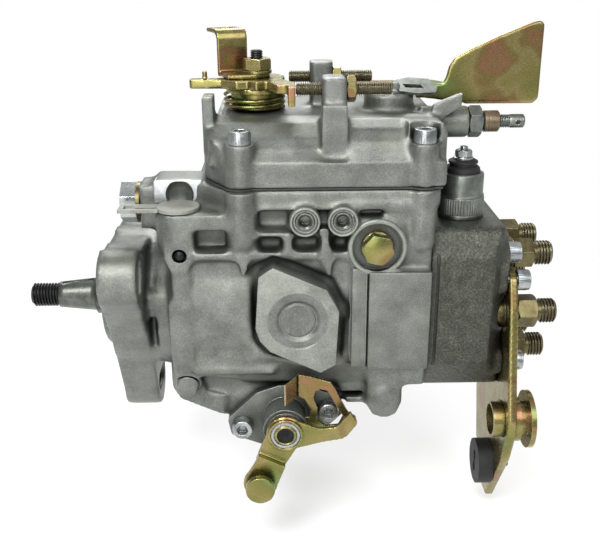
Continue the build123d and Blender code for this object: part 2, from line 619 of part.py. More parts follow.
lever_cold += slab_xz([cold_point(0, -9.1, SHORT_ANGLE), cold_point(17, -6.0, SHORT_ANGLE),
                       cold_point(27, -5.0, SHORT_ANGLE), cold_point(34.5, 3.5, SHORT_ANGLE),
                       cold_point(31.5, 9.0, SHORT_ANGLE), cold_point(24, 1.5, SHORT_ANGLE),
                       cold_point(16, 1.5, SHORT_ANGLE), cold_point(0, 9.1, SHORT_ANGLE)],
                      LEVER_Y0, LEVER_Y1)
lever_cold += slab_xz([cold_point(28.6, -4.4, SHORT_ANGLE), cold_point(34.5, 2.5, SHORT_ANGLE),
                       cold_point(33.0, 3.9, SHORT_ANGLE), cold_point(27.1, -3.0, SHORT_ANGLE)],
                      LEVER_Y0, LEVER_Y0 + 8)
lever_cold += rod_y(8.2, LEVER_Y0 - 1.0, LEVER_Y1, TIMER_X, TIMER_Z)
lever_cold -= rod_y(COLD_SHAFT_R, -70, -40, TIMER_X, TIMER_Z)
stud_x, stud_z = cold_point(28, 0, ARM_ANGLE)
stud = rod_y(7.0, LEVER_Y0 - 9.5, LEVER_Y0 - 6.0, stud_x, stud_z)
stud += rod_y(4.5, LEVER_Y0 - 6.5, LEVER_Y0 - 3.0, stud_x, stud_z)
save("cold_start_lever", lever_cold + stud)

# Stop plate round the near cover boss, open round the right-hand screw.
STOP_Y1 = -45.0
STOP_T = 1.6
stop_plate = slab_xz([(90.0, -24.0), (95.3, -25.1), (105.1, -28.3), (107.4, -32.0), (109.7, -37.3),
                      (113.2, -43.7), (116.5, -48.0), (117.5, -51.0), (112.0, -55.0), (102.5, -54.5),
                      (94.0, -54.0), (95.0, -47.6), (95.5, -42.3), (92.7, -37.0), (90.0, -35.5)],
                     STOP_Y1 - STOP_T, STOP_Y1)
stop_ring = rod_y(12.2, STOP_Y1 - STOP_T, STOP_Y1, TIMER_X, TIMER_Z)
stop_plate += stop_ring & box(TIMER_X, 120, -60, -40, -80, -47)
opening = slab_xz([(96.9, -36.5), (97.7, -33.0), (100.1, -31.7), (103.3, -32.5), (105.6, -36.1), (107.5, -40.3),
                   (111.3, -46.8), (109.0, -51.6), (103.0, -52.2), (98.6, -48.5), (98.8, -42.0)],
                  STOP_Y1 - STOP_T - 1, STOP_Y1 + 1)
stop_plate -= opening
stop_plate -= rod_y(COLD_BOSS_R, -60, -40, TIMER_X, TIMER_Z)
stop_plate += slab([(90.0, STOP_Y1, -24.0), (90.0, STOP_Y1, -35.5), (83.0, STOP_Y1 - 8, -37.0),
                    (83.0, STOP_Y1 - 8, -26.0)], (0.75, 0.66, 0), 1.6)
save("cold_start_stop_plate", stop_plate)


# ================================================================ governor cover
def cover_plan(inset, z0, z1, x1=COVER_X1):
    """Plan of the joint face: square at the rear, chamfered at the front corners."""
    a = inset
    plan = [(COVER_X0 - 1 + a, -27), (59 + a * 0.6, -45 + a), (x1 - a, -45 + a), (x1 - a, 45 - a),
            (59 + a * 0.6, 45 - a), (COVER_X0 - 1 + a, 27)]
    return slab_xy(plan, z0, z1, 2.5)


cover_z0 = GASKET_Z + GASKET_T
COVER_WALL = 4.5
cover = cover_plan(0, cover_z0, 78)
upper = slab_xz([(COVER_X0 + 1, 70), (COVER_X0 + 1, 92), (56, COVER_TOP_Z),
                 (COVER_X1 - 2, COVER_TOP_Z), (COVER_X1, 90), (COVER_X1, 70)], -39.5, 39.5)
cover += upper & cover_plan(0, 60, 110)
for sx, sy in COVER_SCREWS:
    cover += rod_z(6.4, cover_z0, 86, sx, sy)
for py in (FRONT_STOP_Y, REAR_STOP_Y):
    z1 = STOP_Z + (6.0 if py < 0 else 7.5)
    front = py - 9 if py < 0 else py - 6
    x = 106.4 if py < 0 else 102.5
    pillar = box(x - 5.5, x + 5.5, front, py + 6, COVER_TOP_Z - 4, z1)
    cover += fillet(pillar.edges().filter_by(Axis.Z), 2.0)
cover += box(101, 112, -41.0, -30, 78, COVER_TOP_Z + 8)
cover += rod_z(SPINDLE_BOSS_R, SPINDLE_Z0 + 2, COVER_TOP_Z + 6, SPINDLE_X, SPINDLE_Y)
cover += rod_z(11.5, COVER_TOP_Z - 3, COVER_TOP_Z + 4.3, 133.7, -2)
cover += slab_xz([(140, 92), (140, 102), (165, 104), (165, 98), (156, 92)], -22, -18)
cover += rod_x(7.4, 148, 170.5, FULL_LOAD_Y, FULL_LOAD_Z)
cover += box(48.4, 53.8, -27, -21, 78, COVER_TOP_Z)
cover += box(48.4, 53.8, -27, -15, 88, 104)
cover += box(135, 153.5, -8, -4, 94, 107)
cover += box(62, 150, -42.5, -38, 70, 79)

hollow = cover_plan(7.0, cover_z0 - 1, 76) & box(51.0, 200, -60, 60, 0, 200)
core = slab_xz([(51.5, 70), (51.5, 88), (54, 89.5), (COVER_X1 - 6, 89.5), (COVER_X1 - 6, 70)], -34.5, 34.5)
hollow += core & cover_plan(COVER_WALL, 60, 110)
hollow += box(50.5, 62, -14, 14, 60, 73)
cover -= hollow - rod_z(SPINDLE_BOSS_R, SPINDLE_Z0 + 2, 100, SPINDLE_X, SPINDLE_Y)
for sx, sy in COVER_SCREWS:
    cover -= rod_z(M6_CLEAR_R, 60, 90, sx, sy)
    cover -= rod_z(6.8, 86, 110, sx, sy)
cover -= rod_z(SPINDLE_R + RUN, 60, 110, SPINDLE_X, SPINDLE_Y)
cover -= rod_x(STOP_SCREW_R, 95, 118, FRONT_STOP_Y, STOP_Z)
cover -= rod_x(STOP_SCREW_R, 95, 118, REAR_STOP_Y, STOP_Z)
cover -= rod_x(FULL_LOAD_R, 130, 180, FULL_LOAD_Y, FULL_LOAD_Z)
cover -= rod_y(1.2, -30, -10, 162.7, 100.6)
save("governor_cover", cover)

gasket = cover_plan(0, GASKET_Z, cover_z0) & box(40, 154, -46, 46, 60, 70)
for sx, sy in COVER_SCREWS:
    gasket += rod_z(6.4, GASKET_Z, cover_z0, sx, sy)
gasket -= cover_plan(7.0, GASKET_Z - 1, cover_z0 + 1, 150)
gasket -= box(50.5, 62, -24, 24, 60, 73)
for sx, sy in COVER_SCREWS:
    gasket -= rod_z(M6_CLEAR_R, 60, 90, sx, sy)
save("cover_gasket", gasket)
cover_screws = [(Pos(sx, sy, 86) * cap_screw(34.0)).solids()[0] for sx, sy in COVER_SCREWS]
save("cover_screws", Compound(children=cover_screws))


# ================================================================ distributor head
head_outline = [(-44, -20), (-44, 33), (-36, HEAD_TOP_Z), (36, HEAD_TOP_Z), (44, 33), (44, -20),
                (30, HEAD_BOTTOM_Z), (-30, HEAD_BOTTOM_Z)]
head = slab_yz(head_outline, HEAD_X0, HEAD_X1, 5.0)
side_cut = slab_xy([(176, -50), (193, -50), (193, -25.5)], -60, 60)
top_cut = slab_xz([(180, 50), (186, HEAD_TOP_Z), (192, 34), (200, 50)], -60, 60)
head -= side_cut
head -= mirror(side_cut, Plane.XZ)
head -= top_cut
head += slab_yz([(-38, 12), (-37, 35), (-20, 35), (-20, 12)], 181, HEAD_X1, 2.0)
head += slab_yz([(-38, -30), (-38, -18), (-20, -18), (-20, -30)], 181, HEAD_X1, 2.0)
head += slab_yz([(38, 30), (38, 18), (20, 18), (20, 30)], 181, HEAD_X1, 2.0)
head += slab_yz([(38, -30), (38, -18), (20, -18), (20, -30)], 181, HEAD_X1, 2.0)
head += rod_x(BORE_R - 0.05, HEAD_X0 - 8, HEAD_X0 + 1)
head -= rod_x(BARREL_R, HEAD_X0 - 9, HEAD_X1 - 8)
head -= rod_x(10.0, HEAD_X1 - 9, HEAD_X1 + 1)
for hy, hz in HEAD_SCREWS + BRACKET_SCREWS:
    head -= rod_x(M6_CLEAR_R, HEAD_X0 - 1, HEAD_X1 + 1, hy, hz)
outlet_angles = [180 + 360 * i / OUTLETS for i in range(OUTLETS)]
for angle in outlet_angles:
    y, z = polar(OUTLET_R, angle)
    head -= rod_x(7.0, HEAD_X1 - 16, HEAD_X1 + 1, y, z)
head -= rod_z(5.0, 26, HEAD_TOP_Z + 1, SOLENOID_X, SOLENOID_Y)
save("distributor_head", head)

barrel = rod_x(BARREL_R, 141, HEAD_X1 - 8)
barrel -= rod_x(PLUNGER_R + RUN, 140, HEAD_X1 - 7)
for angle in outlet_angles:
    y, z = polar(OUTLET_R, angle)
    barrel -= rod_x(7.0, HEAD_X1 - 16, HEAD_X1 + 1, y, z)
save("distributor_barrel", barrel)

head_screws = [Pos(HEAD_X1, hy, hz) * Rot(0, 90, 0) * cap_screw(44.0) for hy, hz in HEAD_SCREWS]
head_screws += [Pos(BRACKET_X0 + BRACKET_T, hy, hz) * Rot(0, 90, 0) * cap_screw(48.0)
                for hy, hz in BRACKET_SCREWS]
save("head_screws", Compound(children=[s.solids()[0] for s in head_screws]))

holders = []
for angle in outlet_angles:
    y, z = polar(OUTLET_R, angle)
    holder = rod_x(7.0, HEAD_X1 - 12, HEAD_X1, y, z)
    holder += rod_x(8.0, HEAD_X1, HEX_X0, y, z)
    holder += hex_x(OUTLET_HEX, HEX_X0, HEX_X1, y, z, turn=angle + 30)
    holder += rod_x(5.0, HEX_X1, HEX_X1 + 2, y, z)
    holder += rod_x(OUTLET_THREAD_R, HEX_X1 + 1.5, OUTLET_TIP_X - 0.8, y, z)
    holder += cone_x(OUTLET_THREAD_R, OUTLET_THREAD_R - 0.8, OUTLET_TIP_X - 0.8, OUTLET_TIP_X, y, z)
    holder -= cone_x(1.2, 4.2, OUTLET_TIP_X - 4.5, OUTLET_TIP_X, y, z)
    holder -= rod_x(1.2, HEX_X0, OUTLET_TIP_X - 4, y, z)
    holder -= rod_x(4.2, HEAD_X1 - 13, HEX_X0 + 1, y, z)
    holders.append(holder.solids()[0])
save("delivery_valve_holders", Compound(children=holders))

plug = rod_x(9.95, HEAD_X1 - 7, HEAD_X1)
plug += rod_x(12.0, HEAD_X1, HEAD_X1 + 2)
plug += hex_x(19.0, HEAD_X1 + 2, HEAD_X1 + 8, 0, 0, turn=30)
save("head_centre_plug", plug)


# ================================================================ rear bracket
BRACKET_EDGE = ((-30.0, 24.0), (-37.5, 20.0), (-42.8, 6.5), (-48.5, -16.7), (-53.0, -33.0), (-57.2, -46.0),
                (-57.0, -54.0), (-51.0, -70.0), (-26.0, -108.0), (-16.0, -107.5), (2.5, -88.0),
                (10.0, -62.0), (12.0, -42.0), (-12.0, -37.0), (-25.0, -32.0), (-25.0, -20.0), (-17.0, -10.0),
                (-22.0, 12.0))
bracket_x1 = BRACKET_X0 + BRACKET_T
bracket = slab_yz(BRACKET_EDGE, BRACKET_X0, bracket_x1, 1.8)
for angle in outlet_angles:
    y, z = polar(OUTLET_R, angle)
    bracket -= rod_x(10.0, BRACKET_X0 - 1, bracket_x1 + 1, y, z)
for hy, hz in BRACKET_SCREWS:
    bracket -= rod_x(M6_CLEAR_R, BRACKET_X0 - 1, bracket_x1 + 1, hy, hz)
bracket -= rod_x(BUSH_R, BRACKET_X0 - 1, bracket_x1 + 1, BUSH_Y, BUSH_Z)
bracket -= rod_x(3.2, BRACKET_X0 - 1, bracket_x1 + 1, BUFFER_Y, BUFFER_Z)
save("rear_bracket", bracket)

bush = rod_x(BUSH_R, BRACKET_X0 - 5.5, bracket_x1 + 9, BUSH_Y, BUSH_Z)
bush += rod_x(BUSH_R + 2.2, bracket_x1, bracket_x1 + 3.6, BUSH_Y, BUSH_Z)
bush += rod_x(14.0, bracket_x1 + 7.0, bracket_x1 + 9.4, BUSH_Y, BUSH_Z)
bush -= rod_x(BUSH_R - 1.1, BRACKET_X0 - 6, bracket_x1 + 11, BUSH_Y, BUSH_Z)
save("bracket_bush", bush)

buffer = rod_x(11.5, BRACKET_X0 - 7.5, BRACKET_X0, BUFFER_Y, BUFFER_Z)
buffer += rod_x(3.2, BRACKET_X0 - 1, bracket_x1, BUFFER_Y, BUFFER_Z)
buffer += cone_x(4.6, 3.2, bracket_x1, bracket_x1 + 5, BUFFER_Y, BUFFER_Z)
for dz in (-3.6, 3.6):
    buffer -= rod_x(2.4, BRACKET_X0 - 8, BRACKET_X0 - 4, BUFFER_Y, BUFFER_Z + dz)
buffer -= box(BRACKET_X0 - 8, BRACKET_X0 - 4, BUFFER_Y - 1.1, BUFFER_Y + 1.1, BUFFER_Z - 3.6, BUFFER_Z + 3.6)
save("rubber_buffer", buffer)


# ================================================================ stop solenoid
sol_z0 = HEAD_TOP_Z
solenoid = rod_z(5.0, 32, sol_z0, SOLENOID_X, SOLENOID_Y)
solenoid += rod_z(11.0, sol_z0, sol_z0 + 1.6, SOLENOID_X, SOLENOID_Y)
solenoid += rod_z(10.6, sol_z0 + 1.5, sol_z0 + 10.5, SOLENOID_X, SOLENOID_Y)
solenoid += rod_z(10.0, sol_z0 + 10.5, sol_z0 + 21.5, SOLENOID_X, SOLENOID_Y)
solenoid -= rod_z(3.6, 31, sol_z0 + 15, SOLENOID_X, SOLENOID_Y)
save("solenoid_body", solenoid)

boot_z0 = sol_z0 + 21.5
boot = rod_z(8.6, boot_z0, boot_z0 + 2.6, SOLENOID_X, SOLENOID_Y)
boot += rod_z(6.2, boot_z0 + 2.6, boot_z0 + 6, SOLENOID_X, SOLENOID_Y)
boot -= rod_z(2.0, boot_z0 - 1, boot_z0 + 7, SOLENOID_X, SOLENOID_Y)
save("solenoid_insulator", boot)

terminal = rod_z(2.0, boot_z0, boot_z0 + 12, SOLENOID_X, SOLENOID_Y)
terminal += rod_z(4.6, boot_z0 + 6, boot_z0 + 7, SOLENOID_X, SOLENOID_Y)
terminal += hex_z(7.0, boot_z0 + 7, boot_z0 + 10.2, SOLENOID_X, SOLENOID_Y, turn=20)
save("solenoid_terminal", terminal)

valve = rod_z(3.6 - RUN, 33.0, 52, SOLENOID_X, SOLENOID_Y)
valve += rod_z(2.4, 30.0, 33.5, SOLENOID_X, SOLENOID_Y)
save("solenoid_plunger", valve)


# ================================================================ inlet fittings
inlet_y = -20.5
inlet_z = 54.5
inlet_x = 17.5
washer = tube_x(9.6, 7.0, inlet_x - 1.8, inlet_x, inlet_y, inlet_z)
save("inlet_washer", washer)
inlet = rod_x(7.0, inlet_x - 2.2, inlet_x + 16, inlet_y, inlet_z)
inlet += hex_x(17.0, inlet_x - 9.0, inlet_x - 1.8, inlet_y, inlet_z, turn=30)
save("inlet_bolt", inlet)

cap = rod_z(9.7, 56, 57.6, 36.3, -38)
cap += rod_z(6.6, 51, 56.5, 36.3, -38)
cap += box(11, 28, -44.0, -41.8, 56, 57.4)
cap += box(11, 28, -36.2, -34.0, 56, 57.4)
cap += box(10, 12.2, -44.0, -34.0, 56, 57.4)
save("inlet_cap", cap)


# ================================================================ housing fittings
side_plugs = []
for px in (93.1, 109.8):
    item = rod_y(4.35, -49.8, -44, px, 52.9) - hex_y(4.0, -51, -47.2, px, 52.9)
    side_plugs.append(item.solids()[0])
save("side_plugs", Compound(children=side_plugs))
save("ball_plug", Pos(36.8, -45.0, 36.7) * Sphere(2.95))

pivots = []
for side in (-1, 1):
    item = rod_y(4.0, *sorted((side * 30, side * 46.5)), 125.5, 40.1)
    item += rod_y(2.0, *sorted((side * 19, side * 31)), 125.5, 40.1)
    item += rod_y(8.6, *sorted((side * 46.5, side * 48.0)), 125.5, 40.1)
    item += hex_y(14.0, *sorted((side * 48.0, side * 53.5)), 125.5, 40.1, turn=20)
    pivots.append(item.solids()[0])
save("pivot_bolts", Compound(children=pivots))


# ================================================================ throttle
lever_z = 105.0
spindle = rod_z(SPINDLE_R, SPINDLE_Z0, 101.2, SPINDLE_X, SPINDLE_Y)
spindle += rod_z(SPINDLE_NECK_R, 101, lever_z + 6.0, SPINDLE_X, SPINDLE_Y)
spindle += rod_z(SPINDLE_THREAD_R, lever_z + 5.5, lever_z + 16.4, SPINDLE_X, SPINDLE_Y)
spindle += rod_z(PIN_R, SPINDLE_Z0 - 4, SPINDLE_Z0 + 1, SPINDLE_X + PIN_THROW, SPINDLE_Y)
save("throttle_spindle", spindle)

cup = rod_z(14.6, 102.5, lever_z, SPINDLE_X, SPINDLE_Y)
cup += tube_z(11.0, 9.6, COVER_TOP_Z + 1.5, 103, SPINDLE_X, SPINDLE_Y)
cup -= rod_z(SPINDLE_NECK_R, 90, 110, SPINDLE_X, SPINDLE_Y)
save("spring_cup", cup)

lever_points = [(SPINDLE_X + dx, SPINDLE_Y + dy) for dx, dy in (
    (-31, -9), (-16, -10), (-9, -15), (-4, -13.5), (0, -18), (5, -14), (9, -26), (17.5, -28), (17.5, -18),
    (12, -8), (13, 4), (9, 11), (2.5, 13.5), (1.8, 20.4), (-5, 20.4), (-6, 13.4), (-9, 12.5), (-13, 6),
    (-16, -1.5), (-31, -2))]
throttle = slab_xy(lever_points, lever_z, lever_z + 4, 1.2)
throttle += box(SPINDLE_X + 14.2, SPINDLE_X + 17.5, -34.0, -18, 100.5, lever_z + 4)
throttle -= rod_z(SPINDLE_NECK_R, 90, 120, SPINDLE_X, SPINDLE_Y)
throttle += rod_z(1.2, lever_z + 3, lever_z + 7.5, SPINDLE_X - 24, SPINDLE_Y - 5.5)
save("throttle_lever", throttle)

tab_angle = 24.0
TAB_X = 60.4
TAB_Y = 6.0
tab = box(-7.5, 7.5, -1.0, 1.0, lever_z + 4, lever_z + 25.3)
tab += box(-7.5, 7.5, -1.0, 14, lever_z + 23.3, lever_z + 25.3)
tab -= rod_z(4.0, lever_z + 20, lever_z + 30, 0, 8)
tab = Pos(TAB_X, TAB_Y, 0) * Rot(0, 0, tab_angle) * tab
tab += slab_xy([(SPINDLE_X - 18, 4.2), (SPINDLE_X - 13.0, -10), (SPINDLE_X, -8), (SPINDLE_X + 6, -3),
                (SPINDLE_X + 6, 5), (SPINDLE_X, 8), (SPINDLE_X - 4, 9.4)], lever_z + 4, lever_z + 6.0, 1.0)
tab -= rod_z(SPINDLE_NECK_R, 90, 120, SPINDLE_X, SPINDLE_Y)
save("lever_tab", tab)

save("spindle_washers", tube_z(7.0, SPINDLE_THREAD_R, lever_z + 6.0, lever_z + 7.2, SPINDLE_X, SPINDLE_Y))
spindle_nut = hex_z(12.0, lever_z + 7.2, lever_z + 12.7, SPINDLE_X, SPINDLE_Y, turn=12)
spindle_nut -= rod_z(SPINDLE_THREAD_R, 100, 130, SPINDLE_X, SPINDLE_Y)
save("spindle_nut", spindle_nut)

throttle_spring = coil((0, 0, 1), (SPINDLE_X - 1.4, SPINDLE_Y, COVER_TOP_Z + 1.2), 13.8, 1.6, 2.45, 6.2)
save("throttle_spring", throttle_spring)

stop_screws = [rod_x(STOP_SCREW_R, 89.7, 132.0, FRONT_STOP_Y, STOP_Z).solids()[0],
               rod_x(STOP_SCREW_R, 87.0, 127.0, REAR_STOP_Y, STOP_Z).solids()[0]]
save("stop_screws", Compound(children=stop_screws))
nut_front = hex_x(10.0, 112.0, 116.0, FRONT_STOP_Y, STOP_Z, turn=30)
nut_front -= rod_x(STOP_SCREW_R, 100, 120, FRONT_STOP_Y, STOP_Z)
nut_rear = hex_x(10.0, 108.0, 112.0, REAR_STOP_Y, STOP_Z, turn=30)
nut_rear -= rod_x(STOP_SCREW_R, 100, 120, REAR_STOP_Y, STOP_Z)

full_load = rod_x(FULL_LOAD_R, 140, 188, FULL_LOAD_Y, FULL_LOAD_Z)
full_load += rod_x(5.0, 177.5, 185, FULL_LOAD_Y, FULL_LOAD_Z)
full_load += rod_x(3.2, 187, 197, FULL_LOAD_Y, FULL_LOAD_Z)
full_load -= rod_y(1.2, -20, 0, 193.5, FULL_LOAD_Z)
save("full_load_screw", full_load)
nut_load = hex_x(13.0, 170.5, 176.5, FULL_LOAD_Y, FULL_LOAD_Z, turn=30)
nut_load -= rod_x(FULL_LOAD_R, 160, 180, FULL_LOAD_Y, FULL_LOAD_Z)
save("lock_nuts", Compound(children=[n.solids()[0] for n in (nut_front, nut_rear, nut_load)]))

# Cable bracket: upright plate with folded edges on a strip that is screwed to the cover top.
cable = slab_xz([(161.0, 111.5), (167.6, 119.9), (187.7, 126.9), (202.1, 132.8), (207.1, 133.1), (207.6, 99.5),
                 (204.7, 94.6), (171.2, 95.0), (148.5, 98.0)], 5.0, 7.0)
cable += box(171, 205, 5.0, 17, 94.3, 96.3)
cable += box(205.4, 207.4, 5.0, 15, 97, 131)
cable += box(118, 162, 5.0, 20, 102.2, 104.2)
cable += box(148, 162, 5.0, 7.0, 97.5, 104)
cable += box(124, 134, 10.5, 18.5, COVER_TOP_Z, 103)
save("cable_bracket", cable)
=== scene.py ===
import bpy
import bmesh
from math import atan2, cos, hypot, pi, radians, sin
from mathutils import Matrix, Vector


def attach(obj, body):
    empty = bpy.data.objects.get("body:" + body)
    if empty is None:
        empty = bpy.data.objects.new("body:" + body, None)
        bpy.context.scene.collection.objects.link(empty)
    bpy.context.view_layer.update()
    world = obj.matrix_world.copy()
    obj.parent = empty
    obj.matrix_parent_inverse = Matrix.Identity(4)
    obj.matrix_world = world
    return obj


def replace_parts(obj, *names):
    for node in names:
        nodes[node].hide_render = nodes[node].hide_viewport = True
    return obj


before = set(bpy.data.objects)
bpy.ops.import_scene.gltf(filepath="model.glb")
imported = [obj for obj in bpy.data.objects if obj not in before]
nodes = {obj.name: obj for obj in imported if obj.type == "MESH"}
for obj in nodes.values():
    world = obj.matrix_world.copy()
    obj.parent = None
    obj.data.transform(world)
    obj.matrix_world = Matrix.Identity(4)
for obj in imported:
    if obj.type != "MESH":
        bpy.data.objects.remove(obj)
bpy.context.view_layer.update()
mm = 0.001
axisX = Vector((1, 0, 0))
axisY = Vector((0, 1, 0))
axisZ = Vector((0, 0, 1))

# Places that several pieces share, mm
spindlePlace = (72.0, 0, 0)
pivotPlace = (125.5, 0, 40.1)
timerPlace = (83.3, 0, -50.5)
plugPlaces = ((93.1, 0, 52.9), (109.8, 0, 52.9))
fullLoadPlace = (140.0, -10.0, 89.0)
print("frame loaded:", len(nodes), "nodes")


# Camera and lamps
viewSettings = {
    "place": (84.2, -406.2, 165.07),   # mm
    "pitch": 20.721,                   # degrees, looking down
    "yaw": -1.054,
    "roll": 0.335,
    "lens": 51.0,                      # mm
    "sensor": 36.0,
    "nearest": 10.0,                   # closer things are not drawn
}


def makeCamera():
    data = bpy.data.cameras.new("camera")
    data.lens = viewSettings["lens"]
    data.sensor_width = viewSettings["sensor"]
    data.sensor_fit = "HORIZONTAL"
    data.clip_start = viewSettings["nearest"] * mm
    camera = bpy.data.objects.new("camera", data)
    turn = Matrix.Rotation(radians(viewSettings["yaw"]), 4, "Z")
    turn = turn @ Matrix.Rotation(-radians(viewSettings["pitch"]), 4, "X")
    turn = turn @ Matrix.Rotation(radians(viewSettings["roll"]), 4, "Y")
    place = Matrix.Translation(Vector(viewSettings["place"]) * mm)
    camera.matrix_world = place @ turn @ Matrix.Rotation(pi / 2, 4, "X")
    bpy.context.scene.collection.objects.link(camera)
    bpy.context.scene.camera = camera


lampSettings = (
    # name, place mm, aim mm, size mm, watts
    ("keyLamp", (-180, -520, 620), (90, 0, 20), 420, 6.1),
    ("fillLamp", (-60, -680, 150), (90, 0, 10), 440, 1.5),
    ("sideLamp", (420, -560, 500), (100, 0, 0), 520, 2.2),
    ("rimLamp", (60, 520, 560), (90, 0, 30), 480, 3.8),
)


def makeLamps():
    for name, place, aim, size, power in lampSettings:
        data = bpy.data.lights.new(name, "AREA")
        data.shape = "DISK"
        data.size = size * mm
        data.energy = power
        lamp = bpy.data.objects.new(name, data)
        lamp.location = Vector(place) * mm
        towards = (Vector(aim) - Vector(place)).normalized()
        lamp.rotation_euler = towards.to_track_quat("-Z", "Y").to_euler()
        bpy.context.scene.collection.objects.link(lamp)


makeCamera()
makeLamps()


# An sRGB hex value as linear colour
def hexColour(text):
    parts = [int(text[i:i + 2], 16) / 255 for i in (1, 3, 5)]
    linear = [c / 12.92 if c <= 0.04045 else ((c + 0.055) / 1.055) ** 2.4 for c in parts]
    return (*linear, 1.0)


# Adds a node with its settings; an input takes a value or another node's socket
def addNode(tree, kind, settings=None, inputs=None):
    node = tree.nodes.new(kind)
    for key, value in (settings or {}).items():
        setattr(node, key, value)
    for key, value in (inputs or {}).items():
        if isinstance(value, bpy.types.NodeSocket):
            tree.links.new(value, node.inputs[key])
        else:
            node.inputs[key].default_value = value
    return node


def startMaterial(name, roughness, metallic):
    material = bpy.data.materials.new(name)
    material.use_nodes = True
    tree = material.node_tree
    tree.nodes.clear()
    shader = addNode(tree, "ShaderNodeBsdfPrincipled", inputs={"Roughness": roughness, "Metallic": metallic})
    addNode(tree, "ShaderNodeOutputMaterial", inputs={"Surface": shader.outputs[0]})
    place = addNode(tree, "ShaderNodeTexCoord").outputs["Object"]
    return material, tree, shader, place


def fillRamp(ramp, stops):
    elements = ramp.color_ramp.elements
    while len(elements) < len(stops):
        elements.new(0.5)
    for element, (position, colour) in zip(elements, stops):
        element.position = position
        element.color = hexColour(colour)


# A pattern's scale from the size of its spots in mm
def perMm(size):
    return 1.0 / (size * mm)


# Painted shade darkening the corners, within reach mm, and lighter edges, partly rubbed wear and partly painted
# highlight; gives back the rounded normal
def paintedShadeAndEdges(tree, shader, colour, look, reach, unshadedRange):
    # Painted shade: the colour is darkened towards a dark shade colour where ambient occlusion finds the surface
    # enclosed
    hollow = addNode(tree, "ShaderNodeAmbientOcclusion", {"samples": 6}, {"Distance": reach * mm})
    paintedShadeMask = addNode(tree, "ShaderNodeMapRange", inputs={
        "Value": hollow.outputs["AO"], "From Min": unshadedRange[0], "From Max": unshadedRange[1],
        "To Min": look["paintedShadeShare"], "To Max": 0.0})
    shadedColour = addNode(tree, "ShaderNodeMix", {"data_type": "RGBA"}, {
        "Factor": paintedShadeMask.outputs["Result"], "A": colour, "B": hexColour(look["paintedShade"])})
    rounded = addNode(tree, "ShaderNodeBevel", {"samples": 4}, {"Radius": look["edge"] * mm})
    flat = addNode(tree, "ShaderNodeNewGeometry")
    bend = addNode(tree, "ShaderNodeVectorMath", {"operation": "DOT_PRODUCT"}, {
        0: rounded.outputs["Normal"], 1: flat.outputs["Normal"]})
    # Lighter edges, partly rubbed wear and partly painted highlight, where the rounded normal bends away from the flat
    # one
    edgeWearAndHighlight = addNode(tree, "ShaderNodeMapRange", inputs={
        "Value": bend.outputs["Value"], "From Min": 0.99, "From Max": 0.84, "To Max": look["edgeWearAndHighlightShare"]})
    wornAndHighlitEdges = addNode(tree, "ShaderNodeMix", {"data_type": "RGBA"}, {
        "Factor": edgeWearAndHighlight.outputs["Result"], "A": shadedColour.outputs["Result"], "B": hexColour(look["edgeWearAndHighlight"])})
    tree.links.new(wornAndHighlitEdges.outputs["Result"], shader.inputs["Base Color"])
    return rounded


# Cast metal: blotched skin, fine grain, stains, painted shade in the corners and lighter edges, partly rubbed wear and
# partly painted highlight; sizes in mm
def castSurface(name, look):
    material, tree, shader, place = startMaterial(name, look["rough"], look["metallic"])
    blotch = addNode(tree, "ShaderNodeTexNoise", inputs={
        "Vector": place, "Scale": perMm(look["blotch"]), "Detail": 6.0, "Roughness": 0.62})
    grain = addNode(tree, "ShaderNodeTexNoise", inputs={
        "Vector": place, "Scale": perMm(look["grain"]), "Detail": 4.0, "Roughness": 0.7})
    both = addNode(tree, "ShaderNodeMix", {"data_type": "FLOAT"}, {
        "Factor": look["grainShare"], "A": blotch.outputs["Fac"], "B": grain.outputs["Fac"]})
    skin = addNode(tree, "ShaderNodeValToRGB", inputs={"Fac": both.outputs["Result"]})
    fillRamp(skin, ((0.36, look["dark"]), (0.5, look["middle"]), (0.64, look["light"])))
    stainNoise = addNode(tree, "ShaderNodeTexNoise", inputs={
        "Vector": place, "Scale": perMm(26), "Detail": 5.0, "Roughness": 0.6, "Distortion": 0.6})
    stainShare = addNode(tree, "ShaderNodeMapRange", inputs={
        "Value": stainNoise.outputs["Fac"], "From Min": 0.54, "From Max": 0.7, "To Max": look["stainShare"]})
    stained = addNode(tree, "ShaderNodeMix", {"data_type": "RGBA"}, {
        "Factor": stainShare.outputs["Result"], "A": skin.outputs["Color"], "B": hexColour(look["stain"])})
    rounded = paintedShadeAndEdges(tree, shader, stained.outputs["Result"], look, reach=9.0, unshadedRange=(0.25, 0.85))
    sheen = addNode(tree, "ShaderNodeMapRange", inputs={
        "Value": blotch.outputs["Fac"], "From Min": 0.35, "From Max": 0.65,
        "To Min": look["rough"] - 0.08, "To Max": look["rough"] + 0.1})
    tree.links.new(sheen.outputs["Result"], shader.inputs["Roughness"])
    lumps = addNode(tree, "ShaderNodeTexNoise", inputs={
        "Vector": place, "Scale": perMm(look["lump"]), "Detail": 3.0, "Roughness": 0.5})
    wavy = addNode(tree, "ShaderNodeBump", inputs={
        "Strength": look["lumpDepth"], "Distance": 0.6 * mm, "Height": lumps.outputs["Fac"],
        "Normal": rounded.outputs["Normal"]})
    bump = addNode(tree, "ShaderNodeBump", inputs={
        "Strength": look["grainDepth"], "Distance": 0.25 * mm, "Height": grain.outputs["Fac"],
        "Normal": wavy.outputs["Normal"]})
    tree.links.new(bump.outputs["Normal"], shader.inputs["Normal"])
    return material


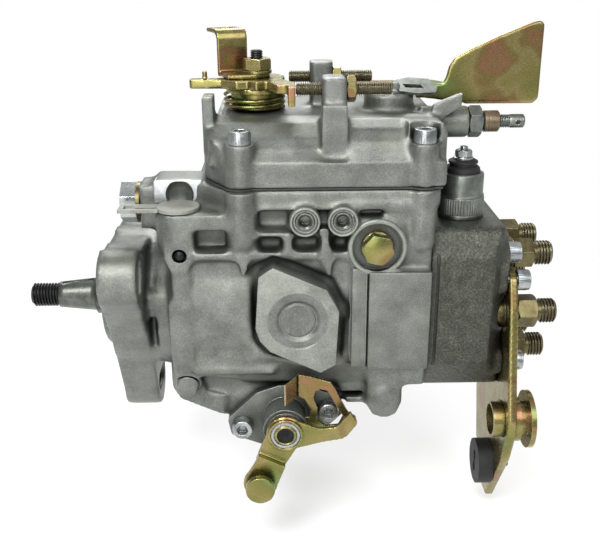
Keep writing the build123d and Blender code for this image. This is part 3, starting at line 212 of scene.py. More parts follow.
# Each finish gives a dark colour painted as shade into its corners and a light colour for its edges, part wear and part
# painted highlight
# Blasted skin of a die casting: light satin grey with a fine sparkle; its 0.1 mm grain is drawn coarser to show
dieCastAluminium = castSurface("die-cast aluminium, shot-blasted", {
    "light": "#858882", "middle": "#6c6f6a", "dark": "#555853", "stain": "#656557", "stainShare": 0.4,
    "paintedShade": "#1f201d", "paintedShadeShare": 0.95, "edgeWearAndHighlight": "#b8bab5", "edgeWearAndHighlightShare": 0.65, "blotch": 12.0,
    "grain": 0.65, "grainShare": 0.5, "grainDepth": 0.6, "lump": 6.0, "lumpDepth": 0.3,
    "edge": 0.6, "rough": 0.36, "metallic": 0.72})
machinedLook = {
    "stain": "#7d7c70", "stainShare": 0.3, "paintedShade": "#2f302b", "paintedShadeShare": 0.7, "edgeWearAndHighlight": "#c2c4bf", "edgeWearAndHighlightShare": 0.6,
    "blotch": 9.0, "lump": 9.0, "lumpDepth": 0.12, "edge": 0.35, "rough": 0.36, "metallic": 0.7}
# Milled face: flatter and lighter than the skin round it
milledAluminium = castSurface("aluminium, face milled", {
    "light": "#989b94", "middle": "#83867f", "dark": "#6e716a",
    "grain": 0.6, "grainShare": 0.6, "grainDepth": 0.4, **machinedLook})
# Freshly faced seat: bright and cool, almost without grain
facedAluminium = castSurface("aluminium, freshly faced", {
    "light": "#d0d4d5", "middle": "#b4b9bb", "dark": "#7d8284",
    "grain": 0.5, "grainShare": 0.4, "grainDepth": 0.25, **machinedLook})
# Sand casting with an oil film: dark, pitted, with small glints; its 0.3 mm sand is drawn coarser to show
sandCastIron = castSurface("grey iron, sand cast and oiled", {
    "light": "#5f6157", "middle": "#3c3e36", "dark": "#232520", "stain": "#37362a", "stainShare": 0.4,
    "paintedShade": "#171512", "paintedShadeShare": 0.6, "edgeWearAndHighlight": "#7d7870", "edgeWearAndHighlightShare": 0.4, "blotch": 5.0,
    "grain": 0.9, "grainShare": 0.7, "grainDepth": 1.0, "lump": 2.2, "lumpDepth": 0.9,
    "edge": 0.9, "rough": 0.36, "metallic": 0.45})


# Plated and bare metal: drifting tint, fine scratches or turning marks, painted shade in the corners and brighter
# edges, partly wear and partly painted highlight. Sizes in mm; "lines" is how many marks there are per mm along X, Y
# and Z, fewer and coarser than real so that they show
def platedSurface(name, look):
    look = {"paintedShadeShare": 0.7, "edgeWearAndHighlightShare": 0.7, **look}
    material, tree, shader, place = startMaterial(name, look["rough"], look["metallic"])
    drift = addNode(tree, "ShaderNodeTexNoise", inputs={
        "Vector": place, "Scale": perMm(look["drift"]), "Detail": 2.0, "Roughness": 0.45, "Distortion": 0.4})
    speckle = addNode(tree, "ShaderNodeTexNoise", inputs={
        "Vector": place, "Scale": perMm(look["speckle"]), "Detail": 5.0, "Roughness": 0.7})
    mottled = addNode(tree, "ShaderNodeMix", {"data_type": "FLOAT"}, {
        "Factor": look["speckleShare"], "A": drift.outputs["Fac"], "B": speckle.outputs["Fac"]})
    tint = addNode(tree, "ShaderNodeValToRGB", inputs={"Fac": mottled.outputs["Result"]})
    fillRamp(tint, look["tints"])
    lines = addNode(tree, "ShaderNodeMapping", inputs={"Vector": place, "Scale": look["lines"]})
    scratch = addNode(tree, "ShaderNodeTexNoise", inputs={
        "Vector": lines.outputs["Vector"], "Scale": perMm(1.0), "Detail": 4.0, "Roughness": 0.7})
    rounded = paintedShadeAndEdges(tree, shader, tint.outputs["Color"], look, reach=3.0, unshadedRange=(0.2, 0.8))
    sheen = addNode(tree, "ShaderNodeMapRange", inputs={
        "Value": scratch.outputs["Fac"], "From Min": 0.3, "From Max": 0.7,
        "To Min": look["rough"] - 0.07, "To Max": look["rough"] + 0.09})
    tree.links.new(sheen.outputs["Result"], shader.inputs["Roughness"])
    bump = addNode(tree, "ShaderNodeBump", inputs={
        "Strength": look["depth"], "Distance": 0.05 * mm, "Height": scratch.outputs["Fac"],
        "Normal": rounded.outputs["Normal"]})
    tree.links.new(bump.outputs["Normal"], shader.inputs["Normal"])
    return material


# Chromate over zinc: pale gold that drifts to olive and rose
yellowZinc = platedSurface("steel, yellow zinc chromate plated", {
    "tints": ((0.27, "#778850"), (0.34, "#767544"), (0.43, "#857e4c"), (0.50, "#918559"), (0.56, "#7f6f44"),
              (0.62, "#8f6a50"), (0.67, "#84754a"), (0.74, "#6f7c48")),
    "drift": 22.0, "speckle": 2.5, "speckleShare": 0.05, "lines": (0.6, 0.6, 2.5), "depth": 0.12,
    "paintedShade": "#241f10", "edgeWearAndHighlight": "#cfc9a4", "edge": 0.4, "rough": 0.27, "metallic": 0.95})
# Thick chromate on turned parts: dull brass brown with faint turning marks
brassyZinc = platedSurface("steel, heavy yellow chromate, turned", {
    "tints": ((0.3, "#453f29"), (0.45, "#5c5439"), (0.6, "#6f684a"), (0.7, "#524b30")),
    "drift": 6.0, "speckle": 1.5, "speckleShare": 0.25, "lines": (3.0, 0.4, 0.4), "depth": 0.25,
    "paintedShade": "#1f1c12", "edgeWearAndHighlight": "#b9b399", "edge": 0.3, "rough": 0.3, "metallic": 0.92})
# Clear-passivated zinc: clean bright grey
brightZinc = platedSurface("steel, bright zinc plated", {
    "tints": ((0.3, "#7d8182"), (0.5, "#9da1a2"), (0.7, "#b4b8b8")),
    "drift": 8.0, "speckle": 1.2, "speckleShare": 0.15, "lines": (0.8, 0.8, 0.8), "depth": 0.08,
    "paintedShade": "#252727", "edgeWearAndHighlight": "#e4e6e6", "edge": 0.3, "rough": 0.27, "metallic": 0.95})
# Zinc gone flat in use: mottled middle grey
dullZinc = platedSurface("steel, zinc plated and weathered", {
    "tints": ((0.3, "#585d59"), (0.5, "#70756f"), (0.7, "#858a83")),
    "drift": 4.0, "speckle": 1.2, "speckleShare": 0.35, "lines": (0.8, 0.8, 3.0), "depth": 0.4,
    "paintedShade": "#1f211f", "edgeWearAndHighlight": "#c3c6c0", "edge": 0.3, "rough": 0.33, "metallic": 0.9})
# Bare ground steel: dark mirror with streaks round the axis
turnedSteel = platedSurface("steel, ground and turned", {
    "tints": ((0.3, "#4e504c"), (0.5, "#62645f"), (0.7, "#767873")),
    "drift": 7.0, "speckle": 1.5, "speckleShare": 0.35, "lines": (4.0, 0.25, 0.25), "depth": 0.5,
    "paintedShade": "#232321", "edgeWearAndHighlight": "#c9cac6", "edge": 0.3, "rough": 0.3, "metallic": 1.0})
# Blackened and oiled: near black with lighter crests, partly worn and partly painted highlight
blackOxide = platedSurface("steel, black oxide", {
    "tints": ((0.3, "#1a1a1b"), (0.5, "#252526"), (0.7, "#323234")),
    "drift": 4.0, "speckle": 1.2, "speckleShare": 0.35, "lines": (2.0, 1.0, 1.0), "depth": 0.4,
    "paintedShade": "#0b0b0b", "edgeWearAndHighlight": "#5c5c5e", "edge": 0.25, "rough": 0.36, "metallic": 0.85})
# Sealing lacquer on steel: warm brown, half metallic
brownLacquer = platedSurface("steel, lacquered brown", {
    "tints": ((0.3, "#4d4335"), (0.5, "#655744"), (0.7, "#766853")),
    "drift": 6.0, "speckle": 1.5, "speckleShare": 0.35, "lines": (3.0, 0.4, 0.4), "depth": 0.3,
    "paintedShade": "#1f1a13", "edgeWearAndHighlight": "#a3957c", "edge": 0.3, "rough": 0.34, "metallic": 0.6})


# Rubber, plastic and paper: soft speckle, low sheen; sizes in mm
def mouldedSurface(name, look):
    material, tree, shader, place = startMaterial(name, look["rough"], 0.0)
    drift = addNode(tree, "ShaderNodeTexNoise", inputs={
        "Vector": place, "Scale": perMm(look["drift"]), "Detail": 5.0, "Roughness": 0.65})
    tint = addNode(tree, "ShaderNodeValToRGB", inputs={"Fac": drift.outputs["Fac"]})
    fillRamp(tint, look["tints"])
    tree.links.new(tint.outputs["Color"], shader.inputs["Base Color"])
    sheen = addNode(tree, "ShaderNodeMapRange", inputs={
        "Value": drift.outputs["Fac"], "From Min": 0.35, "From Max": 0.65,
        "To Min": look["rough"] - 0.08, "To Max": look["rough"] + 0.08})
    tree.links.new(sheen.outputs["Result"], shader.inputs["Roughness"])
    rounded = addNode(tree, "ShaderNodeBevel", {"samples": 4}, {"Radius": 0.4 * mm})
    grain = addNode(tree, "ShaderNodeTexNoise", inputs={
        "Vector": place, "Scale": perMm(look["grain"]), "Detail": 3.0})
    bump = addNode(tree, "ShaderNodeBump", inputs={
        "Strength": 0.3, "Distance": 0.1 * mm, "Height": grain.outputs["Fac"],
        "Normal": rounded.outputs["Normal"]})
    tree.links.new(bump.outputs["Normal"], shader.inputs["Normal"])
    return material


# Black rubber: matt, edges barely lighter
mouldedRubber = mouldedSurface("nitrile rubber, moulded", {
    "tints": ((0.35, "#070708"), (0.6, "#0f0f11")), "drift": 4.0, "grain": 0.5, "rough": 0.6})
# Nylon: even warm grey with a soft shine
greyNylon = mouldedSurface("nylon, moulded grey", {
    "tints": ((0.35, "#6f7069"), (0.6, "#83847b")), "drift": 6.0, "grain": 0.6, "rough": 0.5})
# Gasket paper: a dark fibrous line in the joint
gasketPaper = mouldedSurface("gasket paper, oil soaked", {
    "tints": ((0.35, "#232422"), (0.6, "#353634")), "drift": 3.0, "grain": 0.4, "rough": 0.7})
print("materials made")


# Mesh tools for the turned, threaded and hexagonal pieces; sizes in mm
vertType, edgeType = bmesh.types.BMVert, bmesh.types.BMEdge


def readMesh(mesh):
    bm = bmesh.new()
    bm.from_mesh(mesh)
    return bm


# A node's mesh with its loose triangles merged
def weldedCopy(node):
    bm = readMesh(nodes[node].data)
    bmesh.ops.remove_doubles(bm, verts=bm.verts, dist=0.002 * mm)
    return bm


# Extrudes a rim and gives back its new points and edges
def growRim(bm, edges):
    grown = bmesh.ops.extrude_edge_only(bm, edges=edges)["geom"]
    return [v for v in grown if isinstance(v, vertType)], [e for e in grown if isinstance(e, edgeType)]


# Cuts off what lies beyond a plane and closes the cut
def trimPlane(bm, place, facing):
    cut = bmesh.ops.bisect_plane(bm, geom=bm.verts[:] + bm.edges[:] + bm.faces[:], plane_co=[c * mm for c in place],
                                 plane_no=facing, clear_outer=True)
    rim = [e for e in cut["geom_cut"] if isinstance(e, edgeType)]
    bmesh.ops.triangle_fill(bm, edges=rim, use_beauty=True)


# Spins a profile of height and radius round Z
def lathe(bm, profile, steps=48):
    points = [bm.verts.new((r * mm, 0, h * mm)) for h, r in profile]
    edges = [bm.edges.new(pair) for pair in zip(points, points[1:])]
    bmesh.ops.spin(bm, geom=points + edges, cent=(0, 0, 0), axis=(0, 0, 1), angle=2 * pi,
                   steps=steps, use_merge=True, use_duplicate=False)
    bmesh.ops.remove_doubles(bm, verts=bm.verts, dist=0.002 * mm)


# A thread: one pitch of its profile spun up a helix, then cut to length; depth is a share of the pitch
def cutThread(bm, radius, pitch, low, high, depth=0.6, steps=28):
    turns = int((high - low) / pitch) + 3
    start = low - 1.5 * pitch
    crest = 0.12 * pitch
    root = radius - depth * pitch
    shape = ((0, radius), (crest, radius), (0.5 * pitch, root), (0.5 * pitch + crest, root), (pitch, radius))
    points = [bm.verts.new((r * mm, 0, (start + h) * mm)) for h, r in shape]
    edges = [bm.edges.new(pair) for pair in zip(points, points[1:])]
    bmesh.ops.spin(bm, geom=points + edges, cent=(0, 0, 0), axis=(0, 0, 1), angle=2 * pi * turns,
                   steps=steps * turns, dvec=(0, 0, pitch * mm / steps), use_duplicate=False)
    bmesh.ops.remove_doubles(bm, verts=bm.verts, dist=0.004 * mm)
    for height, facing in ((low, -1), (high, 1)):
        trimPlane(bm, (0, 0, height), (0, 0, facing))


# How far a hexagon reaches at an angle
def hexReach(flats, angle):
    nearest = (angle + pi / 6) % (pi / 3) - pi / 6
    return flats / 2 / cos(nearest)


# A hexagon with coned corners on top, and on the bottom too where asked, and a through hole for a bore radius
def hexagon(bm, flats, low, high, chamfer=0.8, bore=0.0, bottom=False):
    ring = bmesh.ops.create_circle(bm, cap_ends=False, segments=48, radius=1.0)["verts"]
    for vert in ring:
        angle = atan2(vert.co.y, vert.co.x)
        vert.co = Vector((cos(angle), sin(angle), 0)) * hexReach(flats, angle) * mm
    land = flats / 2 * 0.985   # the flat inside the cone, a little inside the hexagon
    slope = chamfer / (flats / 2 / cos(pi / 6) - land)
    base = [e for e in bm.edges if all(v in ring for v in e.verts)]

    def drop(vert):
        return max(0.0, (vert.co.xy.length / mm - land) * slope)

    for vert in ring:
        vert.co.z = (low + (drop(vert) if bottom else 0.0)) * mm
    top, crown = growRim(bm, base)
    for vert in top:
        vert.co.z = (high - drop(vert)) * mm
    for rim, height in ((crown, high), (base, low)):
        verts, edges = growRim(bm, rim)
        for vert in verts:
            vert.co.xy = vert.co.xy.normalized() * land * mm
            vert.co.z = height * mm
        if bore:
            for vert in growRim(bm, edges)[0]:
                vert.co.xy = vert.co.xy.normalized() * bore * mm
        else:
            bmesh.ops.edgeloop_fill(bm, edges=edges)


# A ring of teeth: every second point set back
def toothedRing(bm, teeth, radius, depth):
    ring = bmesh.ops.create_circle(bm, cap_ends=False, segments=teeth * 2, radius=radius * mm)["verts"]
    for vert in ring[1::2]:
        vert.co *= 1 - depth / radius
    return ring


def pourInto(target, part):
    scrap = bpy.data.meshes.new("scrap")
    part.to_mesh(scrap)
    part.free()
    target.from_mesh(scrap)
    bpy.data.meshes.remove(scrap)


# Builds a shape along Z, then turns it to its axis and sets it in its place
def addShape(target, build, place, axis, turn=0.0):
    part = bmesh.new()
    build(part)
    bmesh.ops.remove_doubles(part, verts=part.verts, dist=0.001 * mm)
    towards = axisZ.rotation_difference(axis).to_matrix().to_4x4()
    spin = Matrix.Rotation(turn, 4, "Z")
    bmesh.ops.transform(part, matrix=Matrix.Translation(Vector(place) * mm) @ towards @ spin, verts=part.verts)
    pourInto(target, part)


def plainObject(name, bm):
    mesh = bpy.data.meshes.new(name)
    bm.to_mesh(mesh)
    bm.free()
    piece = bpy.data.objects.new(name, mesh)
    bpy.context.scene.collection.objects.link(piece)
    return piece


# Smooth faces, sharp past an angle, with the finish and the body it rides on
def dressPiece(piece, materials, body, sharp):
    mesh = piece.data
    mesh.polygons.foreach_set("use_smooth", [True] * len(mesh.polygons))
    mesh.set_sharp_from_angle(angle=radians(sharp))
    for material in materials:
        mesh.materials.append(material)
    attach(piece, body)
    return piece


def finishPiece(name, bm, materials, body, sharp=32):
    bmesh.ops.remove_doubles(bm, verts=bm.verts, dist=0.001 * mm)
    bmesh.ops.recalc_face_normals(bm, faces=bm.faces)
    return dressPiece(plainObject(name, bm), materials, body, sharp)


# A piece made of shapes, added to a mesh where one is given, in place of the node's solid
def standFor(node, name, body, material, shapes, bm=None):
    if bm is None:
        bm = bmesh.new()
    for shape in shapes:
        addShape(bm, *shape)
    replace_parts(finishPiece(name, bm, (material,), body), node)


# Shapes to join or to cut away: each gives its build function, place and axis
# An outline drawn on two axes and extruded across the third
def sheetShape(points, across, low, high):
    def build(bm):
        corners = []
        for a, b in points:
            corner = [a * mm, b * mm]
            corner.insert(across, low * mm)
            corners.append(bm.verts.new(corner))
        grown = bmesh.ops.extrude_face_region(bm, geom=[bm.faces.new(corners)])["geom"]
        push = [0, 0, 0]
        push[across] = (high - low) * mm
        bmesh.ops.translate(bm, verts=[v for v in grown if isinstance(v, vertType)], vec=push)
        bmesh.ops.recalc_face_normals(bm, faces=bm.faces)
    return build, (0, 0, 0), axisZ


def sideShape(points, y0, y1):
    return sheetShape(points, 1, y0, y1)


def blockShape(low, high):
    def build(bm):
        for vert in bmesh.ops.create_cube(bm, size=1.0)["verts"]:
            vert.co = Vector([((a + b) / 2 + (b - a) * c) * mm for a, b, c in zip(low, high, vert.co)])
    return build, (0, 0, 0), axisZ


def ballShape(centre, radii):
    def build(bm):
        for vert in bmesh.ops.create_icosphere(bm, subdivisions=4, radius=1.0)["verts"]:
            vert.co = Vector([c * r * mm for c, r in zip(vert.co, radii)])
    return build, centre, axisZ


def turned(profile, place, axis, steps=48):
    return (lambda bm: lathe(bm, profile, steps)), place, axis


def pinShape(low, high, radius, place, axis, steps=48):
    return turned(((low, 0), (low, radius), (high, radius), (high, 0)), place, axis, steps)


def threadShape(radius, pitch, low, high, place, axis):
    return (lambda bm: cutThread(bm, radius, pitch, low, high)), place, axis


# Solid tools
def bakeModifiers(piece):
    view = bpy.context.evaluated_depsgraph_get()
    mesh = bpy.data.meshes.new_from_object(piece.evaluated_get(view))
    piece.modifiers.clear()
    old, piece.data = piece.data, mesh
    bpy.data.meshes.remove(old)


def cutAway(piece, shapes):
    bm = bmesh.new()
    for shape in shapes:
        addShape(bm, *shape)
    bmesh.ops.recalc_face_normals(bm, faces=bm.faces)
    tool = plainObject("tool", bm)
    cut = piece.modifiers.new("cut", "BOOLEAN")
    cut.operation = "DIFFERENCE"
    cut.solver = "EXACT"
    cut.object = tool
    bakeModifiers(piece)
    bpy.data.objects.remove(tool)


def joinShapes(piece, shapes):
    bm = readMesh(piece.data)
    for shape in shapes:
        addShape(bm, *shape)
    bm.to_mesh(piece.data)
    bm.free()


def voxelSkin(piece, size):
    remesh = piece.modifiers.new("remesh", "REMESH")
    remesh.mode = "VOXEL"
    remesh.voxel_size = size * mm
    bakeModifiers(piece)


# Rounds the whole skin, apart from what keep says of a point in mm
def soften(piece, rounds, keep):
    bm = readMesh(piece.data)
    soft = [v for v in bm.verts if not keep(*(v.co / mm))]
    for _ in range(rounds):
        bmesh.ops.smooth_vert(bm, verts=soft, factor=0.5, use_axis_x=True, use_axis_y=True, use_axis_z=True)
    bm.to_mesh(piece.data)
    bm.free()


# Takes a helper object's mesh and removes the object
def takeMesh(piece):
    bm = readMesh(piece.data)
    bpy.data.objects.remove(piece)
    return bm


# Socket-head screws: knurled head, chamfered rim, hexagon socket whose floor lies in shade, darkened further by the
# painted corner shade
socketScrew = {
    "headR": 5.0, "headH": 6.0, "flats": 5.0, "depth": 3.2, "knurls": 36, "knurlDepth": 0.13, "shankR": 2.95,
    "rim": ((4.6, 1.0), (4.9, 0.965), (5.7, 0.955), (6.0, 0.90)),   # height and share of the head's radius
}


def socketHead(bm):
    s = socketScrew
    toothedRing(bm, s["knurls"], s["headR"], s["knurlDepth"])
    low = edges = bm.edges[:]
    for height, share in s["rim"]:
        verts, edges = growRim(bm, edges)
        for vert in verts:
            radius = s["headR"] * share * mm if share < 1 else vert.co.xy.length
            vert.co.xy = vert.co.xy.normalized() * radius
            vert.co.z = height * mm
    for height, share in ((s["headH"], 1.08), (s["headH"] - 0.2, 1.0), (s["headH"] - s["depth"], 1.0)):
        verts, edges = growRim(bm, edges)
        for vert in verts:
            angle = atan2(vert.co.y, vert.co.x)
            reach = hexReach(s["flats"], angle) * share * mm
            vert.co = Vector((cos(angle) * reach, sin(angle) * reach, height * mm))
    bmesh.ops.edgeloop_fill(bm, edges=edges)
    bmesh.ops.edgeloop_fill(bm, edges=low)


timerScrews = {"out": 39.0, "radius": 21.5, "tilt": radians(11.8), "shank": 14.0}


def timerScrew(side, end):
    t = timerScrews
    x, z = timerPlace[0] + end * t["radius"] * cos(t["tilt"]), timerPlace[2] + end * t["radius"] * sin(t["tilt"])
    return (x, side * t["out"], z), axisY * side, t["shank"], 0.4 + end


screwGroups = (
    # node, (seat place mm, axis, shank length, turn) of each screw
    ("cover_screws", [((x, y, 86.0), axisZ, 34.0, t) for x, y, t in (
        (65.0, -41.0, 0.3), (145.8, -41.0, 0.8), (65.0, 41.0, 0.1), (145.8, 41.0, 0.5))]),
    ("head_screws", [((189.0, y, z), axisX, 44.0, 0.2) for y, z in ((-30.0, 30.7), (33.0, 24.0), (33.0, -24.0))]
     + [((193.4, y, z), axisX, 48.0, 0.5) for y, z in ((-33.5, 18.0), (-33.5, -24.0))]),
    ("timer_cover_screws", [timerScrew(side, end) for side in (-1, 1) for end in (-1, 1)]),
)
for node, screws in screwGroups:
    shapes = []
    for place, axis, length, turn in screws:
        shapes += [(socketHead, place, axis, turn), pinShape(0.2, -length, socketScrew["shankR"], place, axis, 24)]
    standFor(node, node + "_made", "pump", brightZinc, shapes)


# Outlet holders: collar, hexagon with chamfers, neck, M12 x 1.5 thread, coned seat
holderSettings = {"circle": 28.6, "count": 6, "collar": 8.0, "flats": 14.0, "hexX0": 195.5, "hexX1": 205.0,
                  "tip": 214.5, "thread": 6.0, "pitch": 1.5, "headX": 189.0, "inside": 177.0,
                  "insideR": 7.0, "neck": 2.2, "neckR": 5.1, "cone": 4.2, "coneR": 4.0, "coneTipR": 1.2}


def holderShape(bm):
    h = holderSettings
    cutThread(bm, h["thread"], h["pitch"], h["hexX1"] + h["neck"] - 0.1, h["tip"] - 0.9)
    hexagon(bm, h["flats"], h["hexX0"], h["hexX1"], chamfer=0.8, bottom=True)
    lathe(bm, ((h["inside"], 0), (h["inside"], h["insideR"]), (h["headX"], h["insideR"]), (h["headX"], h["collar"]),
               (h["hexX0"] - 0.8, h["collar"]), (h["hexX0"], h["collar"] - 1.2), (h["hexX0"], 0)))
    lathe(bm, ((h["hexX1"], 0), (h["hexX1"], 6.4), (h["hexX1"] + 0.5, h["neckR"]),
               (h["hexX1"] + h["neck"], h["neckR"]), (h["hexX1"] + h["neck"], 0)))
    lathe(bm, ((h["tip"] - 0.95, 5.0), (h["tip"] - 0.9, 5.7), (h["tip"], 4.9), (h["tip"], h["coneR"]),
               (h["tip"] - h["cone"], h["coneTipR"]), (h["tip"] - h["cone"], 0)))


shapes = []
for index in range(holderSettings["count"]):
    angle = pi + 2 * pi * index / holderSettings["count"]
    y, z = holderSettings["circle"] * cos(angle), holderSettings["circle"] * sin(angle)
    shapes.append((holderShape, (0, y, z), axisX, 0.35 * index))
standFor("delivery_valve_holders", "outlet_holders_made", "pump", brassyZinc, shapes)

# Speed stop screws, M6 x 1, with coned ends
stopScrews = {"radius": 2.95, "pitch": 1.0, "screws": ((42.3, (89.7, -30.0, 107.6)), (40.0, (87.0, 10.0, 107.6)))}


def studShape(length, radius, pitch):
    def build(bm):
        cutThread(bm, radius, pitch, 0.4, length - 0.4)
        lathe(bm, ((0.45, radius - 0.75), (0.0, radius - 0.8), (0.0, 0.0)), 28)
        lathe(bm, ((length - 0.45, radius - 0.75), (length, radius - 0.8), (length, 0.0)), 28)
    return build


standFor("stop_screws", "stop_screws_made", "pump", brassyZinc, [
    (studShape(length, stopScrews["radius"], stopScrews["pitch"]), place, axisX)
    for length, place in stopScrews["screws"]])

# Hexagon nuts
nutGroups = (
    # node, piece, body, material, axis, (flats, height, bore radius, place mm, turn) of each nut
    ("lock_nuts", "lock_nuts_made", "pump", yellowZinc, axisX, (
        (10.0, 4.0, 2.7, (112.0, -30.0, 107.6), 0.5), (10.0, 4.0, 2.7, (108.0, 10.0, 107.6), 0.2))),
    ("lock_nuts", "full_load_nut", "pump", dullZinc, axisX, ((13.0, 6.0, 3.7, (170.5, -10.0, 89.0), 0.5),)),
    ("spindle_nut", "spindle_nut_made", "throttle", yellowZinc, axisZ, ((12.0, 5.5, 2.8, (72.0, 0.0, 112.2), 0.25),)),
)


def nutShape(flats, height, bore):
    return lambda bm: hexagon(bm, flats, 0, height, chamfer=0.7, bore=bore, bottom=True)


for node, name, body, material, axis, nuts in nutGroups:
    standFor(node, name, body, material, [
        (nutShape(flats, height, bore), place, axis, turn) for flats, height, bore, place, turn in nuts])

# Spindle: blackened, threaded above the nut
spindle = {"cut": 116.0, "radius": 3.0, "pitch": 1.0, "low": 115.9, "high": 121.0,
           "end": ((120.9, 0), (120.9, 2.6), (121.4, 2.2), (121.4, 0))}
bm = weldedCopy("throttle_spindle")
trimPlane(bm, (0, 0, spindle["cut"]), axisZ)
standFor("throttle_spindle", "throttle_spindle_made", "throttle", blackOxide, (
    threadShape(spindle["radius"], spindle["pitch"], spindle["low"], spindle["high"], spindlePlace, axisZ),
    turned(spindle["end"], spindlePlace, axisZ, 28)), bm)

# Full-load screw: sealing collar, thread and a cross-drilled end; heights along X from its place
fullLoad = {
    "collar": ((37.5, 0), (37.5, 4.4), (38.1, 5.0), (39.4, 5.0), (39.7, 4.7), (40.0, 5.0), (44.4, 5.0),
               (45.0, 4.4), (45.0, 0)),
    "end": ((50, 0), (50, 2.9), (50.6, 3.2), (56.4, 3.2), (57.0, 2.6), (57.0, 0)),
    "radius": 3.1, "pitch": 0.8, "low": 44.8, "high": 50.2, "body": 3.9, "hole": 1.2, "holePlace": (193.5, -10.0, 89.0),
}
standFor("full_load_screw", "full_load_collar", "pump", brownLacquer, (
    turned(fullLoad["collar"], fullLoadPlace, axisX),))
pin = plainObject("pin", bmesh.new())
joinShapes(pin, (
    threadShape(fullLoad["radius"], fullLoad["pitch"], fullLoad["low"], fullLoad["high"], fullLoadPlace, axisX),
    pinShape(0, fullLoad["collar"][0][0], fullLoad["body"], fullLoadPlace, axisX),
    turned(fullLoad["end"], fullLoadPlace, axisX)))
cutAway(pin, (pinShape(-5, 5, fullLoad["hole"], fullLoad["holePlace"], axisY, 24),))
standFor("full_load_screw", "full_load_screw_made", "pump", dullZinc, (), takeMesh(pin))

# Side plugs: pressed in, with a lip, a groove and a blind hole
plugProfile = ((44, 0), (44, 4.3), (49.7, 4.3), (50.1, 4.0), (50.1, 3.4), (49.7, 3.0), (49.4, 2.6), (45.2, 2.5),
               (45.2, 0))
standFor("side_plugs", "side_plugs_made", "pump", turnedSteel, [
    turned(plugProfile, place, -axisY, 40) for place in plugPlaces])

# Lever pivot bolts: chamfered hexagon on a turned washer face; heights from the shaft plane
pivotBolt = {"flats": 12.8, "seat": 46.5, "hexLow": 48.0, "top": 53.2, "pin": 2.0, "shank": 4.0, "washer": 7.3}


def pivotShape(bm):
    p = pivotBolt
    hexagon(bm, p["flats"], p["hexLow"], p["top"], chamfer=0.6)
    lathe(bm, ((19, 0), (19, p["pin"]), (30.5, p["pin"]), (30.5, p["shank"]), (p["seat"], p["shank"]),
               (p["seat"], p["washer"]), (p["hexLow"] - 0.4, p["washer"]), (p["hexLow"], p["washer"] - 0.4),
               (p["hexLow"], 0)))


standFor("pivot_bolts", "pivot_bolts_made", "pump", yellowZinc, (
    (pivotShape, pivotPlace, -axisY, 0.3), (pivotShape, pivotPlace, axisY, 0.1)))

# Stop solenoid: knurled seat, drawn can with a rolled edge, domed boot, nut on a threaded terminal
solenoid = {
    "place": (168.6, -15.0, 45.0), "knurl": 10.9, "teeth": 54, "tooth": 0.35, "knurlLow": 2.2, "knurlHeight": 7.6,
    "seat": ((-13, 0), (-13, 5.0), (0, 5.0), (0, 10.6), (0.4, 10.9), (1.9, 10.9), (2.3, 10.3), (2.3, 0)),
    "can": ((9.7, 0), (9.7, 10.5), (10.0, 10.7), (10.8, 10.6), (11.2, 10.2), (20.0, 10.2), (21.0, 9.9), (21.5, 9.1),
            (21.3, 8.4), (21.0, 8.2), (21.0, 0)),
    "boot": ((20.6, 0), (20.6, 8.3), (21.6, 8.4), (23.4, 8.0), (24.3, 7.1), (24.6, 6.2), (25.4, 6.2), (25.8, 7.0),
             (26.6, 6.9), (27.2, 5.8), (27.5, 4.8), (27.5, 0)),
    "washer": ((27.5, 0), (27.5, 4.6), (28.3, 4.6), (28.5, 4.2), (28.5, 0)),
    "tip": ((33.2, 0), (33.2, 1.5), (33.5, 1.2), (33.5, 0)),
}


def canShape(bm):
    s = solenoid
    for vert in toothedRing(bm, s["teeth"], s["knurl"], s["tooth"]):
        vert.co.z = s["knurlLow"] * mm
    low = bm.edges[:]
    verts, high = growRim(bm, low)
    bmesh.ops.translate(bm, verts=verts, vec=(0, 0, s["knurlHeight"] * mm))
    for rim in (low, high):
        bmesh.ops.edgeloop_fill(bm, edges=rim)
    lathe(bm, s["seat"], 64)
    lathe(bm, s["can"], 64)


def bootShape(bm):
    lathe(bm, solenoid["boot"], 56)


def terminalShape(bm):
    cutThread(bm, 2.0, 0.8, 30.9, 33.3)
    hexagon(bm, 7.0, 28.5, 31.7, chamfer=0.6, bottom=True)
    lathe(bm, solenoid["washer"], 40)
    lathe(bm, solenoid["tip"], 24)


for node, build, material in (("solenoid_body", canShape, dullZinc), ("solenoid_insulator", bootShape, mouldedRubber),
                              ("solenoid_terminal", terminalShape, brightZinc)):
    standFor(node, node + "_made", "pump", material, ((build, solenoid["place"], axisZ, 0.2),))

# Drive shaft: oil-blackened M12 thread, bare ground cone with an empty keyway; heights along X from its tip
shaft = {
    "tip": (-45.0, 0, 0), "cut": -31.0, "radius": 6.0, "pitch": 1.5, "low": 0.9, "high": 13.0,
    "end": ((0.0, 0), (0.0, 4.6), (1.0, 5.2), (1.0, 0)),
    "neck": ((12.9, 0), (12.9, 5.0), (13.9, 5.4), (14.05, 6.4), (14.05, 0)),
}
bm = weldedCopy("drive_shaft")
trimPlane(bm, (shaft["cut"], 0, 0), -axisX)
standFor("drive_shaft", "drive_shaft_made", "drive", turnedSteel, (), bm)
standFor("drive_shaft", "drive_shaft_thread", "drive", blackOxide, (
    threadShape(shaft["radius"], shaft["pitch"], shaft["low"], shaft["high"], shaft["tip"], axisX),
    turned(shaft["end"], shaft["tip"], axisX), turned(shaft["neck"], shaft["tip"], axisX)))
print("fasteners, solenoid and shaft made")


